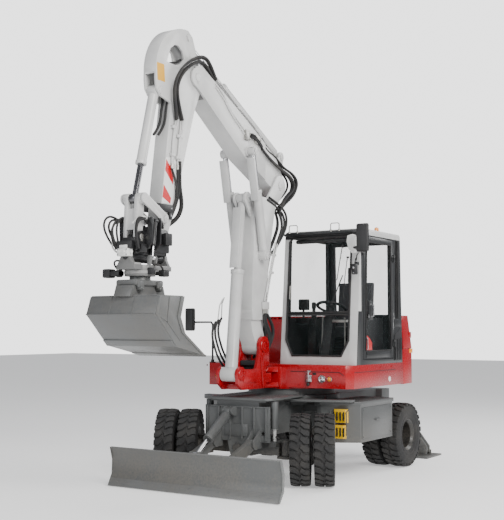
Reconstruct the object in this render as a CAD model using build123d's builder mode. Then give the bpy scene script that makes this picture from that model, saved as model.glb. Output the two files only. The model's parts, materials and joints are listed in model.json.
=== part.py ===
from build123d import *
import os
from math import atan2, cos, hypot, pi, radians, sin, tan

# Wheeled excavator, millimetres, +Z up, +X forward, +Y to the driver's left.
# Sizes are given from the point on the ground midway between the axles. On export every
# piece moves back by "middle", so that the origin lies under the middle of its bounding box.

os.makedirs("parts", exist_ok=True)

# Clearances
seat_gap = 0.3
pin_gap = 0.3
ear_gap = 6.0
panel_gap = 6.0

# Undercarriage
wheelbase = 2250.0
axle_height = 420.0
tyre_radius = 420.0
tyre_width = 235.0
twin_gap = 45.0
twin_centre = 892.0
rim_radius = 200.0
lug_depth = 22.0
lug_count = 16
lug_length = 70.0
lug_root = 12.0
shoulder_depth = 26.0
bead_depth = 16.0
lug_angle = 22.0
hub_radius = 78.0
kingpin_offset = 590.0
steered_angle = 27.0
frame_half_width = 300.0
frame_bottom = 560.0
frame_top = 960.0
frame_front = 1270.0
frame_rear = 2150.0
plate_thickness = 20.0
front_half_width = 455.0
front_rib_count = 6
deck_top = 1010.0
deck_thickness = 26.0
deck_front = 1335.0
ring_radius = 560.0
ring_top = 1080.0
axle_half_height = 90.0
lock_offset = 460.0
lock_radius = 45.0
knuckle_ear_radius = 78.0
knuckle_ear_gap = 95.0
kingpin_radius = 32.0

tie_down_radius = 25.0
tie_down_front = (365.0, 600.0)
tie_down_rear = (-2215.0, 640.0)
tie_down_plate = 30.0

# Side boxes and steps
box_outer = 1120.0
box_inner = 640.0
box_rear = -655.0
box_front = 265.0
box_front_inner = 536.0
box_bottom = 443.0
box_top = 890.0
step_thickness = 46.0

chock_length = 170.0
chock_depth = 85.0
chock_places = ((150.0, 690.0, 850.0), (175.0, 500.0, 660.0))

# Dozer blade
blade_half_width = 1150.0
blade_front = 2260.0
blade_bottom = 8.0
blade_top = 447.0
blade_thickness = 26.0
blade_curve = 62.0
blade_pivot = (1400.0, 480.0)
blade_arm_offset = 275.0
blade_arm_width = 60.0
blade_base = (1375.0, 850.0)
blade_eye = (2030.0, 400.0)
blade_cylinder_offset = -60.0

# Stabilizers
leg_plane = -2230.0
leg_pivot = (330.0, 620.0)
leg_foot = (900.0, 92.0)
leg_plate = 25.0
leg_half_width = 60.0
pad_length = 540.0
pad_width = 300.0
pad_thickness = 24.0
stabilizer_base = (40.0, 925.0)
stabilizer_eye = (560.0, 600.0)

# Upper structure
body_half_width = 1130.0
skirt_bottom = 1100.0
sill_height = 1380.0
skirt_front = 536.0
skirt_wall = 40.0
platform_rear = -1000.0
tail_radius = 1750.0
tail_front = -985.0
weight_top = 1560.0
hood_top = 2000.0
hood_wall = 25.0
hood_hinge = (-1020.0, 1978.0)
hood_hinge_places = (-850.0, -250.0)
hood_hinge_half = 30.0
housing_top = 1950.0
housing_front = -240.0

# Cab
cab_right = 58.0
cab_left = 1130.0
cab_front_bottom = 381.0
cab_front_top = 242.0
cab_rear_bottom = -974.0
cab_rear_top = -930.0
cab_roof = 3064.0
cab_wall = 46.0
cab_post = 78.0
beacon_centre = (-700.0, 900.0)
beacon_radius = 65.0
beacon_height = 16.0
door_front = 205.0
door_rear = -690.0
door_rise = 60.0
door_drop = 84.0
glass_thickness = 6.0
mirror_drop = 264.0
screen_bar_rise = 630.0
wheel_radius = 190.0
roof_radius = 55.0
screen_corner = 95.0
door_hinge = (-697.0, 1147.0)
hinge_pin = 8.0
hinge_plate = 14.0
hinge_length = 70.0
hinge_levels = (1600.0, 2700.0)

# Swing post and boom
nose_pin = 750.0
nose_pin_radius = 60.0
nose_lug_radius = 95.0
post_inner = 112.0
post_plate = 38.0
boom_foot = (915.0, 1617.0)
lift_foot = (1420.0, 1285.0)
lift_top = (1180.0, 3400.0)
knee = (503.0, 3630.0)
adjust_base = (998.0, 2708.0)
adjust_top = (1255.0, 3950.0)
adjust_offset = 200.0
arm_pivot = (2270.0, 4640.0)
arm_base = (368.0, 4022.0)
arm_eye = (2412.0, 5068.0)
bucket_base = (2912.0, 4375.0)
rocker_pin = (3225.0, 3170.0)
rocker_pivot = (2885.0, 2985.0)
arm_tip = (2850.0, 2795.0)
link_low = (3250.0, 2765.0)
main_pin = 45.0
small_pin = 32.0
lower_half_width = 135.0
neck_half_width = 105.0
upper_half_width = 118.0
heel_half_width = 104.0
arm_half_width = 85.0
hook_inner = 62.0
hook_centre = (2431.7, 4582.9)
hook_radius = 557.5
hook_arc = (3.8, 88.2)
hook_web = 20.0
web_arc = (-4.0, 80.0)
hook_hole = (
    (2800, 4705), (2738, 4865), (2657, 4924), (2593, 4928), (2519, 4879), (2491, 4796), (2560, 4730), (2660, 4695),
)
rocker_inner = 124.0
rocker_plate = 22.0
hitch_inner = 92.0
fork_radius = 265.0
hitch_plate = 24.0

# Tiltrotator and bucket
tilt_height = 2560.0
tilt_rear = 2800.0
tilt_front = 3310.0
tilt_base_out = 187.0
tilt_base_rise = 375.0
wing_half = 31.0
tilt_eye_out = 160.0
tilt_eye_drop = 10.0
rotor_axis = 3125.0
rotor_radius = 140.0
cradle_drop = 80.0
cradle_depth = 50.0
rotor_depth = 64.0
coupler_gap = 41.0
coupler_depth = 62.0
bucket_half_width = 450.0
bucket_wall = 18.0
bucket_outline = ((2955.0, 2155.0), (3378.0, 2155.0), (3446.0, 1968.0), (3110.0, 1645.0), (2573.0, 1536.0))
bucket_lip = ((3022.0, 1943.0), (2943.0, 1772.0))

front_axle_x = wheelbase / 2
rear_axle_x = -wheelbase / 2
tilt_base = (tilt_base_out, tilt_height + tilt_base_rise)
tilt_eye = (tilt_eye_out, tilt_height - tilt_eye_drop)
cradle_top = tilt_height - cradle_drop
rotor_top = cradle_top - cradle_depth
rotor_bottom = rotor_top - rotor_depth
coupler_top = rotor_bottom - coupler_gap
coupler_bottom = coupler_top - coupler_depth
door_bottom = sill_height + door_rise
door_top = cab_roof - door_drop
screen_bar = sill_height + screen_bar_rise
front_reach = bucket_outline[2][0]
rear_reach = leg_plane - pad_length / 2
middle = (front_reach + rear_reach) / 2
sides = (("left", 1), ("right", -1))


def save(piece, name):
    placed = piece.part.moved(Location((-middle, 0, 0)))
    placed.label = name
    export_step(placed, f"parts/{name}.step")


def side_plane(y):
    """Sketch plane across the machine at Y = y: its x is X and its y is Z."""
    return Plane(origin=(0, y, 0), x_dir=(1, 0, 0), z_dir=(0, -1, 0))


def cross_plane(x):
    """Sketch plane along the machine at X = x: its x is Y and its y is Z."""
    return Plane(origin=(x, 0, 0), x_dir=(0, 1, 0), z_dir=(1, 0, 0))


def slab(points, low, high, mode=Mode.ADD, soft=0):
    """Extrudes an outline in XZ between Y = low and Y = high, its corners rounded by soft."""
    with BuildSketch(side_plane(high)) as outline:
        with BuildLine():
            Polyline(*points, close=True)
        make_face()
        if soft:
            fillet(outline.vertices(), soft)
    extrude(outline.sketch, amount=high - low, mode=mode)


def bar(points, low, high, mode=Mode.ADD):
    """Extrudes an outline in YZ between X = low and X = high."""
    with BuildSketch(cross_plane(low)) as outline:
        with BuildLine():
            Polyline(*points, close=True)
        make_face()
    extrude(outline.sketch, amount=high - low, mode=mode)


def sheet(points, low, high, mode=Mode.ADD):
    """Extrudes an outline in XY between Z = low and Z = high."""
    with BuildSketch(Plane.XY.offset(low)) as outline:
        with BuildLine():
            Polyline(*points, close=True)
        make_face()
    extrude(outline.sketch, amount=high - low, mode=mode)


def brick(x, y, z, mode=Mode.ADD):
    """A block between the pairs x, y and z."""
    with Locations(((x[0] + x[1]) / 2, (y[0] + y[1]) / 2, (z[0] + z[1]) / 2)):
        Box(x[1] - x[0], y[1] - y[0], z[1] - z[0], mode=mode)


def lug_y(centre, radius, low, high, mode=Mode.ADD):
    """A round boss or bore along Y at a point of the XZ plane."""
    with BuildSketch(side_plane(high)) as outline:
        with Locations(centre):
            Circle(radius)
    extrude(outline.sketch, amount=high - low, mode=mode)


def lug_x(centre, radius, low, high, mode=Mode.ADD):
    """A round boss or bore along X at a point of the YZ plane."""
    with BuildSketch(cross_plane(low)) as outline:
        with Locations(centre):
            Circle(radius)
    extrude(outline.sketch, amount=high - low, mode=mode)


def lug_z(centre, radius, low, high, mode=Mode.ADD):
    """A round boss or bore along Z at a point of the XY plane."""
    with BuildSketch(Plane.XY.offset(low)) as outline:
        with Locations(centre):
            Circle(radius)
    extrude(outline.sketch, amount=high - low, mode=mode)


def strap(points, radii, low, high):
    """A plate across Y whose outline wraps a row of round bosses."""
    with BuildSketch(side_plane(high)) as outline:
        for start, end, first, last in zip(points, points[1:], radii, radii[1:]):
            span = hypot(end[0] - start[0], end[1] - start[1])
            turn = atan2(end[1] - start[1], end[0] - start[0])
            lean = (first - last) / span
            rise = (1 - lean * lean) ** 0.5
            corners = []
            for centre, radius in ((start, first), (end, last)):
                for side in (1, -1):
                    across = side * rise
                    corners.append((
                        centre[0] + radius * (lean * cos(turn) - across * sin(turn)),
                        centre[1] + radius * (lean * sin(turn) + across * cos(turn)),
                    ))
            with BuildLine():
                Polyline(corners[0], corners[1], corners[3], corners[2], close=True)
            make_face()
        for centre, radius in zip(points, radii):
            with Locations(centre):
                Circle(radius)
    extrude(outline.sketch, amount=high - low)


def ram_frame(base, eye, across):
    """Plane at a ram's base: z runs to the rod's eye and x across the linkage."""
    return Plane(origin=base, x_dir=across, z_dir=tuple(b - a for a, b in zip(base, eye)))


def build_barrel(base, eye, across, size):
    """Barrel with its base eye, bored for the rod."""
    plane = ram_frame(base, eye, across)
    with BuildPart() as barrel:
        with BuildSketch(plane.offset(size["neck"])):
            Circle(size["barrel"])
        extrude(amount=size["length"] - size["neck"])
        with BuildSketch(plane.offset(size["length"] - size["gland_length"])):
            Circle(size["barrel"] + size["gland"])
        extrude(amount=size["gland_length"])
        with BuildSketch(Plane(origin=base, x_dir=plane.z_dir, z_dir=across)):
            Circle(size["eye"])
            with Locations((size["neck"] / 2, 0)):
                Rectangle(size["neck"] + 2, size["neck_width"])
        extrude(amount=size["eye_half"], both=True)
        with BuildSketch(Plane(origin=base, x_dir=plane.z_dir, z_dir=across)):
            Circle(size["pin"] + pin_gap)
        extrude(amount=size["eye_half"] + 1, both=True, mode=Mode.SUBTRACT)
        with BuildSketch(plane.offset(size["neck"] + 15)):
            Circle(size["rod"] + seat_gap)
        extrude(amount=size["length"], mode=Mode.SUBTRACT)
    return barrel


def add_guard(plane, guard):
    """Channel in front of a rod, held by a block at its eye and passing over the barrel."""
    half, front, back = guard["half"], guard["front"], guard["back"]
    with BuildSketch(plane.offset(guard["start"])) as channel:
        with BuildLine():
            Polyline(
                (-half, back), (-half, front), (half, front), (half, back), (half - 8, back),
                (half - 8, front - 8), (8 - half, front - 8), (8 - half, back), close=True,
            )
        make_face()
    extrude(channel.sketch, amount=guard["length"])
    with BuildSketch(plane.offset(guard["start"])) as block:
        with Locations((0, front / 2 - 2)):
            Rectangle(half, front - 4)
    extrude(block.sketch, amount=40)


def build_rod(base, eye, across, size):
    """Rod with its open eye; its inner end stands at size["start"] from the ram's base."""
    plane = ram_frame(eye, base, across)
    span = hypot(*(b - a for a, b in zip(base, eye)))
    with BuildPart() as rod:
        with BuildSketch(plane.offset(size["rod_eye"] * 0.8)):
            Circle(size["rod"])
        extrude(amount=span - size["start"] - size["rod_eye"] * 0.8)
        with BuildSketch(Plane(origin=eye, x_dir=plane.z_dir, z_dir=across)):
            Circle(size["rod_eye"])
        extrude(amount=size["rod_eye_half"], both=True)
        with BuildSketch(Plane(origin=eye, x_dir=plane.z_dir, z_dir=across)):
            Circle(size["rod_bore"])
        extrude(amount=size["rod_eye_half"] + 1, both=True, mode=Mode.SUBTRACT)
        if "guard" in size:
            add_guard(plane, size["guard"])
    return rod


def at_y(point, y):
    return (point[0], y, point[1])


def at_x(point, x, side=1):
    return (x, side * point[0], point[1])


# Chassis frame: box frame, front plate with ribs, deck, slew ring seat and brackets
with BuildPart() as chassis_frame:
    brick((-frame_rear, frame_front), (-frame_half_width, frame_half_width), (frame_bottom, frame_top))
    lug_z((0, 0), 620, 880, 1000)
    lug_z((0, 0), ring_radius, 1000, ring_top - seat_gap)
    brick((frame_front, frame_front + plate_thickness), (-front_half_width, front_half_width), (500, 912))
    for rib in range(front_rib_count):
        rib_y = -front_half_width + 40 + rib * (2 * front_half_width - 80) / (front_rib_count - 1)
        brick((frame_front + 10, frame_front + 45), (rib_y - 9, rib_y + 9), (520, 905))
    deck_edge = front_half_width + 30
    deck = ((430, -430), (deck_front - 60, -deck_edge), (deck_front, -deck_edge + 60))
    sheet(deck + tuple((x, -y) for x, y in reversed(deck)), deck_top - deck_thickness, deck_top)
    brick((570, frame_front), (-390, 390), (frame_top, deck_top))
    for side in (1, -1):
        low, high = sorted((side * (blade_arm_offset - 36 - plate_thickness), side * (blade_arm_offset - 36)))
        slab(((1250, 640), (1250, 430), (1380, 425), (1445, 460), (1445, 520), (1300, 640)), low, high)
        low, high = sorted((side * (blade_arm_offset + 36), side * (blade_arm_offset + 36 + plate_thickness)))
        slab(((1250, 640), (1250, 430), (1380, 425), (1445, 460), (1445, 520), (1300, 640)), low, high)
        low, high = sorted((side * (blade_arm_offset - 50), side * (blade_arm_offset + 50)))
        lug_y(blade_pivot, small_pin, low, high)
        low, high = sorted((blade_cylinder_offset + side * 41, blade_cylinder_offset + side * 61))
        slab(((1280, 905), (1280, 790), (1360, 800), (1412, 830), (1420, 870), (1380, 905)), low, high)
        low, high = sorted((side * 290, side * (lock_offset - lock_radius - seat_gap)))
        brick((1140, 1230), (low, high), (850, 905))
        brick((1140, 1230), (low, high), (690, 730))
    lug_y(blade_base, small_pin, blade_cylinder_offset - 60, blade_cylinder_offset + 60)
    for x in (front_axle_x + 125, front_axle_x - 165):
        bar(((-150, frame_bottom), (-95, 340), (95, 340), (150, frame_bottom)), x, x + 40)
        lug_x((0, axle_height), 55 + pin_gap, x - 1, x + 41, mode=Mode.SUBTRACT)
    for side in (1, -1):
        low, high = sorted((side * 190, side * 290))
        brick((rear_axle_x - 80, rear_axle_x + 80), (low, high), (axle_height + axle_half_height + seat_gap, frame_bottom))
        low, high = sorted((side * (frame_half_width - 10), side * box_inner))
        brick((-600, -440), (low, high), (790, 880))
        brick((60, 200), (low, high), (790, 880))
        fender = ((560, side * 290), (700, side * 330), (640, side * 640), (430, side * 1080), (330, side * 1080), (380, side * 560))
        sheet(fender, box_top + step_thickness + 2, box_top + step_thickness + 30)
        brick((330, 430), (side * 640 - 40, side * 640 + 40), (box_top + step_thickness + seat_gap, box_top + step_thickness + 10))
        lug_x((side * leg_pivot[0], leg_pivot[1]), small_pin, -frame_rear - 145, -frame_rear + 5)
        lug_x((side * stabilizer_base[0], stabilizer_base[1]), 20, -frame_rear - 112, -frame_rear + 5)
    brick((-frame_rear, -frame_rear + 250), (-395, 395), (frame_bottom, frame_top))
    slab(((-frame_rear + 5, 570), (-frame_rear + 5, 710), (-2200, 700), (-2255, 680), (-2265, 640), (-2255, 600), (-2200, 580)),
         -tie_down_plate / 2, tie_down_plate / 2)
    lug_y(tie_down_rear, tie_down_radius, -tie_down_plate, tie_down_plate, mode=Mode.SUBTRACT)
    for side in (1, -1):
        eye = (side * tie_down_front[0], tie_down_front[1])
        lug_x(eye, tie_down_radius, frame_front - 1, frame_front + plate_thickness + 1, mode=Mode.SUBTRACT)
save(chassis_frame, "chassis_frame")

# Front axle: beam with trunnions and kingpin forks
with BuildPart() as front_axle:
    brick((front_axle_x - 70, front_axle_x + 70), (-520, 520), (axle_height - 70, axle_height + 70))
    brick((front_axle_x - 85, front_axle_x + 85), (-150, 150), (axle_height - 95, axle_height + 95))
    lug_x((0, axle_height), 55, front_axle_x - 175, front_axle_x + 175)
    lug_x((0, axle_height), 120, front_axle_x - 100, front_axle_x + 100)
    for side in (1, -1):
        low, high = sorted((side * 420, side * 520))
        brick((front_axle_x - 60, front_axle_x + 130), (low, high), (axle_height + 30, axle_height + axle_half_height))
        for level in (axle_height - 110, axle_height + knuckle_ear_gap - 15):
            lug_z((front_axle_x, side * kingpin_offset), knuckle_ear_radius, level, level + 30)
            low, high = sorted((side * 490, side * kingpin_offset))
            brick((front_axle_x - 60, front_axle_x + 60), (low, high), (level, level + 30))
        lug_z((front_axle_x, side * kingpin_offset), kingpin_radius, axle_height - 110, axle_height + 110)
save(front_axle, "front_axle")

# Rear axle: beam, differential housing and wheel stubs
with BuildPart() as rear_axle:
    brick((rear_axle_x - 70, rear_axle_x + 70), (-560, 560), (axle_height - 70, axle_height + 70))
    brick((rear_axle_x - 80, rear_axle_x + 80), (-300, 300), (axle_height, axle_height + axle_half_height))
    lug_x((0, axle_height - 10), 150, rear_axle_x - 130, rear_axle_x + 110)
    for side in (1, -1):
        low, high = sorted((side * 540, side * 800))
        lug_y((rear_axle_x, axle_height), hub_radius, low, high)
save(rear_axle, "rear_axle")

# Axle lock rams: fixed to the frame, their rods rest on the axle beam
with BuildPart() as axle_locks:
    for side in (1, -1):
        centre = (1185, side * lock_offset)
        lug_z(centre, lock_radius, 650, 970)
        lug_z(centre, 22, axle_height + axle_half_height + seat_gap, 650)
save(axle_locks, "axle_locks")

# Knuckles: steered to the left at rest
for name, side in sides:
    pivot = (front_axle_x, side * kingpin_offset)
    turn = Location((*pivot, 0), (0, 0, steered_angle)) * Location((-pivot[0], -pivot[1], 0))
    with BuildPart() as knuckle:
        lug_z(pivot, 62, axle_height - 110 + 30.5, axle_height + knuckle_ear_gap - 15.5)
        low, high = sorted((side * (kingpin_offset + 20), side * 800))
        lug_y((front_axle_x, axle_height), hub_radius, low, high)
        lug_z(pivot, kingpin_radius + pin_gap, axle_height - 90, axle_height + 90, mode=Mode.SUBTRACT)
    knuckle.part = turn * knuckle.part
    save(knuckle, f"knuckle_{name}")

# Twin wheels: one rim pair and one tyre pair, copied to the four corners
inner_face = twin_centre - twin_gap / 2 - tyre_width
outer_face = twin_centre + twin_gap / 2 + tyre_width
with BuildPart() as rim_pair:
    with BuildSketch(side_plane(inner_face + 20)) as band:
        Circle(rim_radius)
        Circle(rim_radius - 12, mode=Mode.SUBTRACT)
    extrude(band.sketch, amount=-(outer_face - inner_face - 40))
    with BuildSketch(side_plane(twin_centre - 30)) as disc:
        Circle(rim_radius - 6)
        Circle(hub_radius + seat_gap, mode=Mode.SUBTRACT)
    extrude(disc.sketch, amount=-24)
    with BuildSketch(side_plane(inner_face + 60)) as hub:
        Circle(hub_radius + 36)
        Circle(hub_radius + seat_gap, mode=Mode.SUBTRACT)
    extrude(hub.sketch, amount=-(802 - inner_face - 60))
    with BuildSketch(side_plane(802)) as cap:
        Circle(hub_radius + 36)
    extrude(cap.sketch, amount=-140)
with BuildPart() as tyre:
    half = tyre_width / 2
    tread = tyre_radius - lug_depth
    with BuildSketch(side_plane(half)):
        RegularPolygon(tread, 2 * lug_count)
    extrude(amount=tyre_width)
    chamfer(tyre.edges().group_by(Axis.Y)[0] + tyre.edges().group_by(Axis.Y)[-1], shoulder_depth, shoulder_depth * 0.7)
    lug_y((0, 0), rim_radius + seat_gap, -half - 1, half + 1, mode=Mode.SUBTRACT)
    chamfer(tyre.edges().filter_by(GeomType.CIRCLE), bead_depth)
    slant = tan(radians(lug_angle))
    for row in (1, -1):
        near, far = row * half * 0.08, row * half * 0.92
        for step in range(lug_count):
            turn = (2 * step + (0.5 if row > 0 else 1.5)) * pi / lug_count
            out = (cos(turn), 0, sin(turn))
            spot = tuple((tread - lug_root) * value for value in out)
            with BuildSketch(Plane(origin=spot, x_dir=(-sin(turn), 0, cos(turn)), z_dir=out)):
                with BuildLine():
                    Polyline(
                        (-lug_length / 2 - slant * near, -near), (lug_length / 2 - slant * near, -near),
                        (lug_length / 2 - slant * far, -far), (-lug_length / 2 - slant * far, -far), close=True,
                    )
                make_face()
            extrude(amount=lug_depth + lug_root)
with BuildPart() as tyre_pair:
    with Locations((0, twin_centre - (twin_gap + tyre_width) / 2, 0), (0, twin_centre + (twin_gap + tyre_width) / 2, 0)):
        add(tyre.part)
for end, x in (("front", front_axle_x), ("rear", rear_axle_x)):
    for name, side in sides:
        turn = Location((x, 0, axle_height))
        if end == "front":
            pivot = (front_axle_x, side * kingpin_offset)
            turn = Location((*pivot, 0), (0, 0, steered_angle)) * Location((-pivot[0], -pivot[1], 0)) * turn
        for piece, label in ((rim_pair, "rims"), (tyre_pair, "tyres")):
            with BuildPart() as wheel:
                add(piece.part if side > 0 else mirror(piece.part, about=Plane.XZ, mode=Mode.PRIVATE))
            wheel.part = turn * wheel.part
            save(wheel, f"{label}_{end}_{name}")

# Dozer blade: curved moldboard, back beam, two arms and ears for the ram
with BuildPart() as blade:
    with BuildSketch(side_plane(blade_half_width)) as board:
        with BuildLine():
            middle_height = (blade_bottom + blade_top) / 2
            ThreePointArc(
                (blade_front, blade_bottom),
                (blade_front - blade_curve - 18, middle_height),
                (blade_front - 35, blade_top),
            )
            Line((blade_front - 35, blade_top), (blade_front - 35 - blade_thickness, blade_top))
            ThreePointArc(
                (blade_front - 35 - blade_thickness, blade_top),
                (blade_front - blade_curve - 18 - blade_thickness, middle_height),
                (blade_front - blade_thickness, blade_bottom),
            )
            Line((blade_front - blade_thickness, blade_bottom), (blade_front, blade_bottom))
        make_face()
    extrude(board.sketch, amount=2 * blade_half_width)
    back = blade_front - blade_curve - blade_thickness
    brick((back - 85, back - 8), (-900, 900), (130, 330))
    for side in (1, -1):
        low, high = sorted((side * (blade_arm_offset - 30), side * (blade_arm_offset + 30)))
        slab(((1400, 420), (1400, 540), (1480, 520), (1830, 395), (back - 60, 395), (back - 60, 140), (1960, 150)), low, high)
        lug_y(blade_pivot, 60, low, high)
        lug_y(blade_pivot, small_pin + pin_gap, low - 1, high + 1, mode=Mode.SUBTRACT)
        low, high = sorted((blade_cylinder_offset + side * 41, blade_cylinder_offset + side * 61))
        slab(((back - 60, 300), (back - 160, 345), (back - 180, 400), (back - 160, 445), (back - 100, 450), (back - 25, 380)), low, high)
save(blade, "blade")

# Rams. neck: where the barrel starts; length: where it ends; start: where the rod's inner end is
blade_ram = dict(barrel=55, gland=6, gland_length=30, neck=85, neck_width=60, length=520, eye=48, eye_half=36,
                 pin=small_pin, rod=28, start=275, rod_eye=42, rod_eye_half=34, rod_bore=28)
leg_ram = dict(barrel=32, gland=2, gland_length=22, neck=34, neck_width=40, length=335, eye=32, eye_half=28,
               pin=20, rod=18, start=285, rod_eye=31, rod_eye_half=26, rod_bore=16)
lift_ram = dict(barrel=74, gland=8, gland_length=50, neck=80, neck_width=120, length=1250, eye=84, eye_half=105,
                pin=main_pin, rod=46, start=920, rod_eye=62, rod_eye_half=50, rod_bore=36,
                guard=dict(half=56, front=97, back=74, start=130, length=735))
adjust_ram = dict(barrel=52, gland=5, gland_length=36, neck=68, neck_width=80, length=800, eye=58, eye_half=42,
                  pin=main_pin - 5, rod=32, start=430, rod_eye=52, rod_eye_half=42, rod_bore=30,
                  guard=dict(half=50, front=72, back=45, start=75, length=515))
arm_ram = dict(barrel=60, gland=6, gland_length=40, neck=92, neck_width=60, length=1420, eye=58, eye_half=33,
               pin=small_pin, rod=36, start=560, rod_eye=56, rod_eye_half=45, rod_bore=34)
bucket_ram = dict(barrel=54, gland=6, gland_length=36, neck=58, neck_width=80, length=860, eye=56, eye_half=55,
                  pin=small_pin, rod=32, start=300, rod_eye=52, rod_eye_half=38, rod_bore=32)
tilt_ram = dict(barrel=28, gland=3, gland_length=20, neck=16, neck_width=40, length=255, eye=28, eye_half=30,
                pin=16, rod=14, start=138, rod_eye=26, rod_eye_half=25, rod_bore=15)

for name, ram, base, eye in (
    ("blade", blade_ram, at_y(blade_base, blade_cylinder_offset), at_y(blade_eye, blade_cylinder_offset)),
    ("lift", lift_ram, at_y(lift_foot, 0), at_y(lift_top, 0)),
    ("arm", arm_ram, at_y(arm_base, 0), at_y(arm_eye, 0)),
    ("bucket", bucket_ram, at_y(bucket_base, 0), at_y(rocker_pin, 0)),
):
    save(build_barrel(base, eye, (0, 1, 0), ram), f"{name}_barrel")
    save(build_rod(base, eye, (0, 1, 0), ram), f"{name}_rod")
for piece, build in (("barrels", build_barrel), ("rods", build_rod)):
    with BuildPart() as pair:
        for side in (1, -1):
            offset = side * adjust_offset
            add(build(at_y(adjust_base, offset), at_y(adjust_top, offset), (0, 1, 0), adjust_ram).part)
    save(pair, f"adjust_{piece}")
for name, side in sides:
    base, eye = at_x(stabilizer_base, leg_plane, side), at_x(stabilizer_eye, leg_plane, side)
    save(build_barrel(base, eye, (1, 0, 0), leg_ram), f"stabilizer_barrel_{name}")
    save(build_rod(base, eye, (1, 0, 0), leg_ram), f"stabilizer_rod_{name}")
    base, eye = at_x(tilt_base, rotor_axis, side), at_x(tilt_eye, rotor_axis, side)
    save(build_barrel(base, eye, (1, 0, 0), tilt_ram), f"tilt_barrel_{name}")
    save(build_rod(base, eye, (1, 0, 0), tilt_ram), f"tilt_rod_{name}")

# Stabilizers: two leg plates, pivot tube, foot tube and ground pad
for name, side in sides:
    with BuildPart() as stabilizer:
        for low in (leg_plane - leg_half_width, leg_plane + leg_half_width - leg_plate):
            outline = ((leg_pivot[0], 690), (leg_pivot[0] - 30, 550), (820, 60), (960, 60), (960, 150), (620, 590), (560, 645))
            bar(tuple((side * y, z) for y, z in outline), low, low + leg_plate)
            lug_x((side * leg_pivot[0], leg_pivot[1]), 80, low, low + leg_plate)
        lug_x((side * leg_pivot[0], leg_pivot[1]), 52, leg_plane - leg_half_width, leg_plane + leg_half_width)
        lug_x((side * leg_foot[0], leg_foot[1]), 45, leg_plane - 90, leg_plane + 90)
        lug_x((side * leg_pivot[0], leg_pivot[1]), small_pin + pin_gap, leg_plane - 70, leg_plane + 70, mode=Mode.SUBTRACT)
        low, high = sorted((side * (leg_foot[0] - pad_width / 2), side * (leg_foot[0] + pad_width / 2)))
        brick((leg_plane - pad_length / 2, leg_plane + pad_length / 2), (low, high), (0, pad_thickness))
        for x in (leg_plane - 88, leg_plane + 70):
            low, high = sorted((side * 830, side * 970))
            brick((x, x + 18), (low, high), (pad_thickness - 2, 95))
    save(stabilizer, f"stabilizer_{name}")

# Tool boxes with steps, hung beside the frame
with BuildPart() as side_boxes:
    for side in (1, -1):
        outline = ((box_rear, box_inner), (box_rear, box_outer), (box_front, box_outer), (box_front_inner - 40, box_inner + 60), (box_front_inner - 40, box_inner))
        sheet(tuple((x, side * y) for x, y in outline), box_bottom, box_top)
        outline = ((box_rear - 15, box_inner - 20), (box_rear - 15, box_outer + 15), (box_front + 5, box_outer + 15), (box_front_inner - 20, box_inner + 60), (box_front_inner - 20, box_inner - 20))
        sheet(tuple((x, side * y) for x, y in outline), box_top, box_top + step_thickness)
        low, high = sorted((side * (box_outer - 8), side * (box_outer + 8)))
        brick((-560, 80), (low, high), (box_bottom + 90, box_top - 110), mode=Mode.SUBTRACT)
    for side in (1, -1):
        low, high = sorted((side * (box_inner - 1), side * (box_inner + 40)))
        brick((-602, -438), (low, high), (789, 881), mode=Mode.SUBTRACT)
        brick((58, 202), (low, high), (789, 881), mode=Mode.SUBTRACT)
save(side_boxes, "side_boxes")

# Wheel chocks: two wedges, stacked on the slanted front of the left box
slant_start = (box_front, box_outer)
slant_end = (box_front_inner - 40, box_inner + 60)
slant = hypot(slant_end[0] - slant_start[0], slant_end[1] - slant_start[1])
slant_x = (slant_end[0] - slant_start[0]) / slant
slant_y = (slant_end[1] - slant_start[1]) / slant
with BuildPart() as wheel_chocks:
    for foot, low, high in chock_places:
        spot = (slant_start[0] + slant_x * foot - slant_y * seat_gap, slant_start[1] + slant_y * foot + slant_x * seat_gap, low)
        face = Plane(origin=spot, x_dir=(slant_x, slant_y, 0), z_dir=(0, 0, 1))
        with BuildSketch(face) as wedge:
            with BuildLine():
                Polyline((0, 0), (chock_length, 0), (chock_length, 22), (40, chock_depth), (0, chock_depth - 12), close=True)
            make_face()
            with Locations((62, 42), (104, 33)):
                Rectangle(16, 34, mode=Mode.SUBTRACT)
        extrude(amount=high - low)
save(wheel_chocks, "wheel_chocks")

# Platform: pan with skirt, slewing centre, nose fork and swing pin
with BuildPart() as platform:
    outline = (
        (platform_rear, -body_half_width), (230, -body_half_width), (skirt_front, -926), (skirt_front, 1060),
        (skirt_front - 80, body_half_width), (platform_rear, body_half_width),
    )
    sheet(outline, skirt_bottom, sill_height)
    inner = (
        (platform_rear + skirt_wall, -body_half_width + skirt_wall), (230 - 20, -body_half_width + skirt_wall),
        (skirt_front - skirt_wall, -905), (skirt_front - skirt_wall, 1045),
        (skirt_front - 100, body_half_width - skirt_wall), (platform_rear + skirt_wall, body_half_width - skirt_wall),
    )
    sheet(inner, skirt_bottom, sill_height - 50, mode=Mode.SUBTRACT)
    lug_z((0, 0), ring_radius + 30, ring_top, sill_height - 40)
    brick((platform_rear, skirt_front), (-330, -290), (skirt_bottom, sill_height - 40))
    brick((platform_rear, skirt_front), (290, 330), (skirt_bottom, sill_height - 40))
    for low in (skirt_bottom, 1290):
        sheet(((skirt_front - 20, -175), (nose_pin, -nose_lug_radius), (nose_pin, nose_lug_radius), (skirt_front - 20, 175)), low, low + 60)
        lug_z((nose_pin, 0), nose_lug_radius, low, low + 60)
    brick((skirt_front - 30, skirt_front + 55), (-172, 172), (skirt_bottom, 1350))
    lug_z((nose_pin, 0), nose_pin_radius, skirt_bottom, 1350)
    brick((-1480, platform_rear + 20), (-560, 560), (1105, 1150))
save(platform, "platform")

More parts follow.
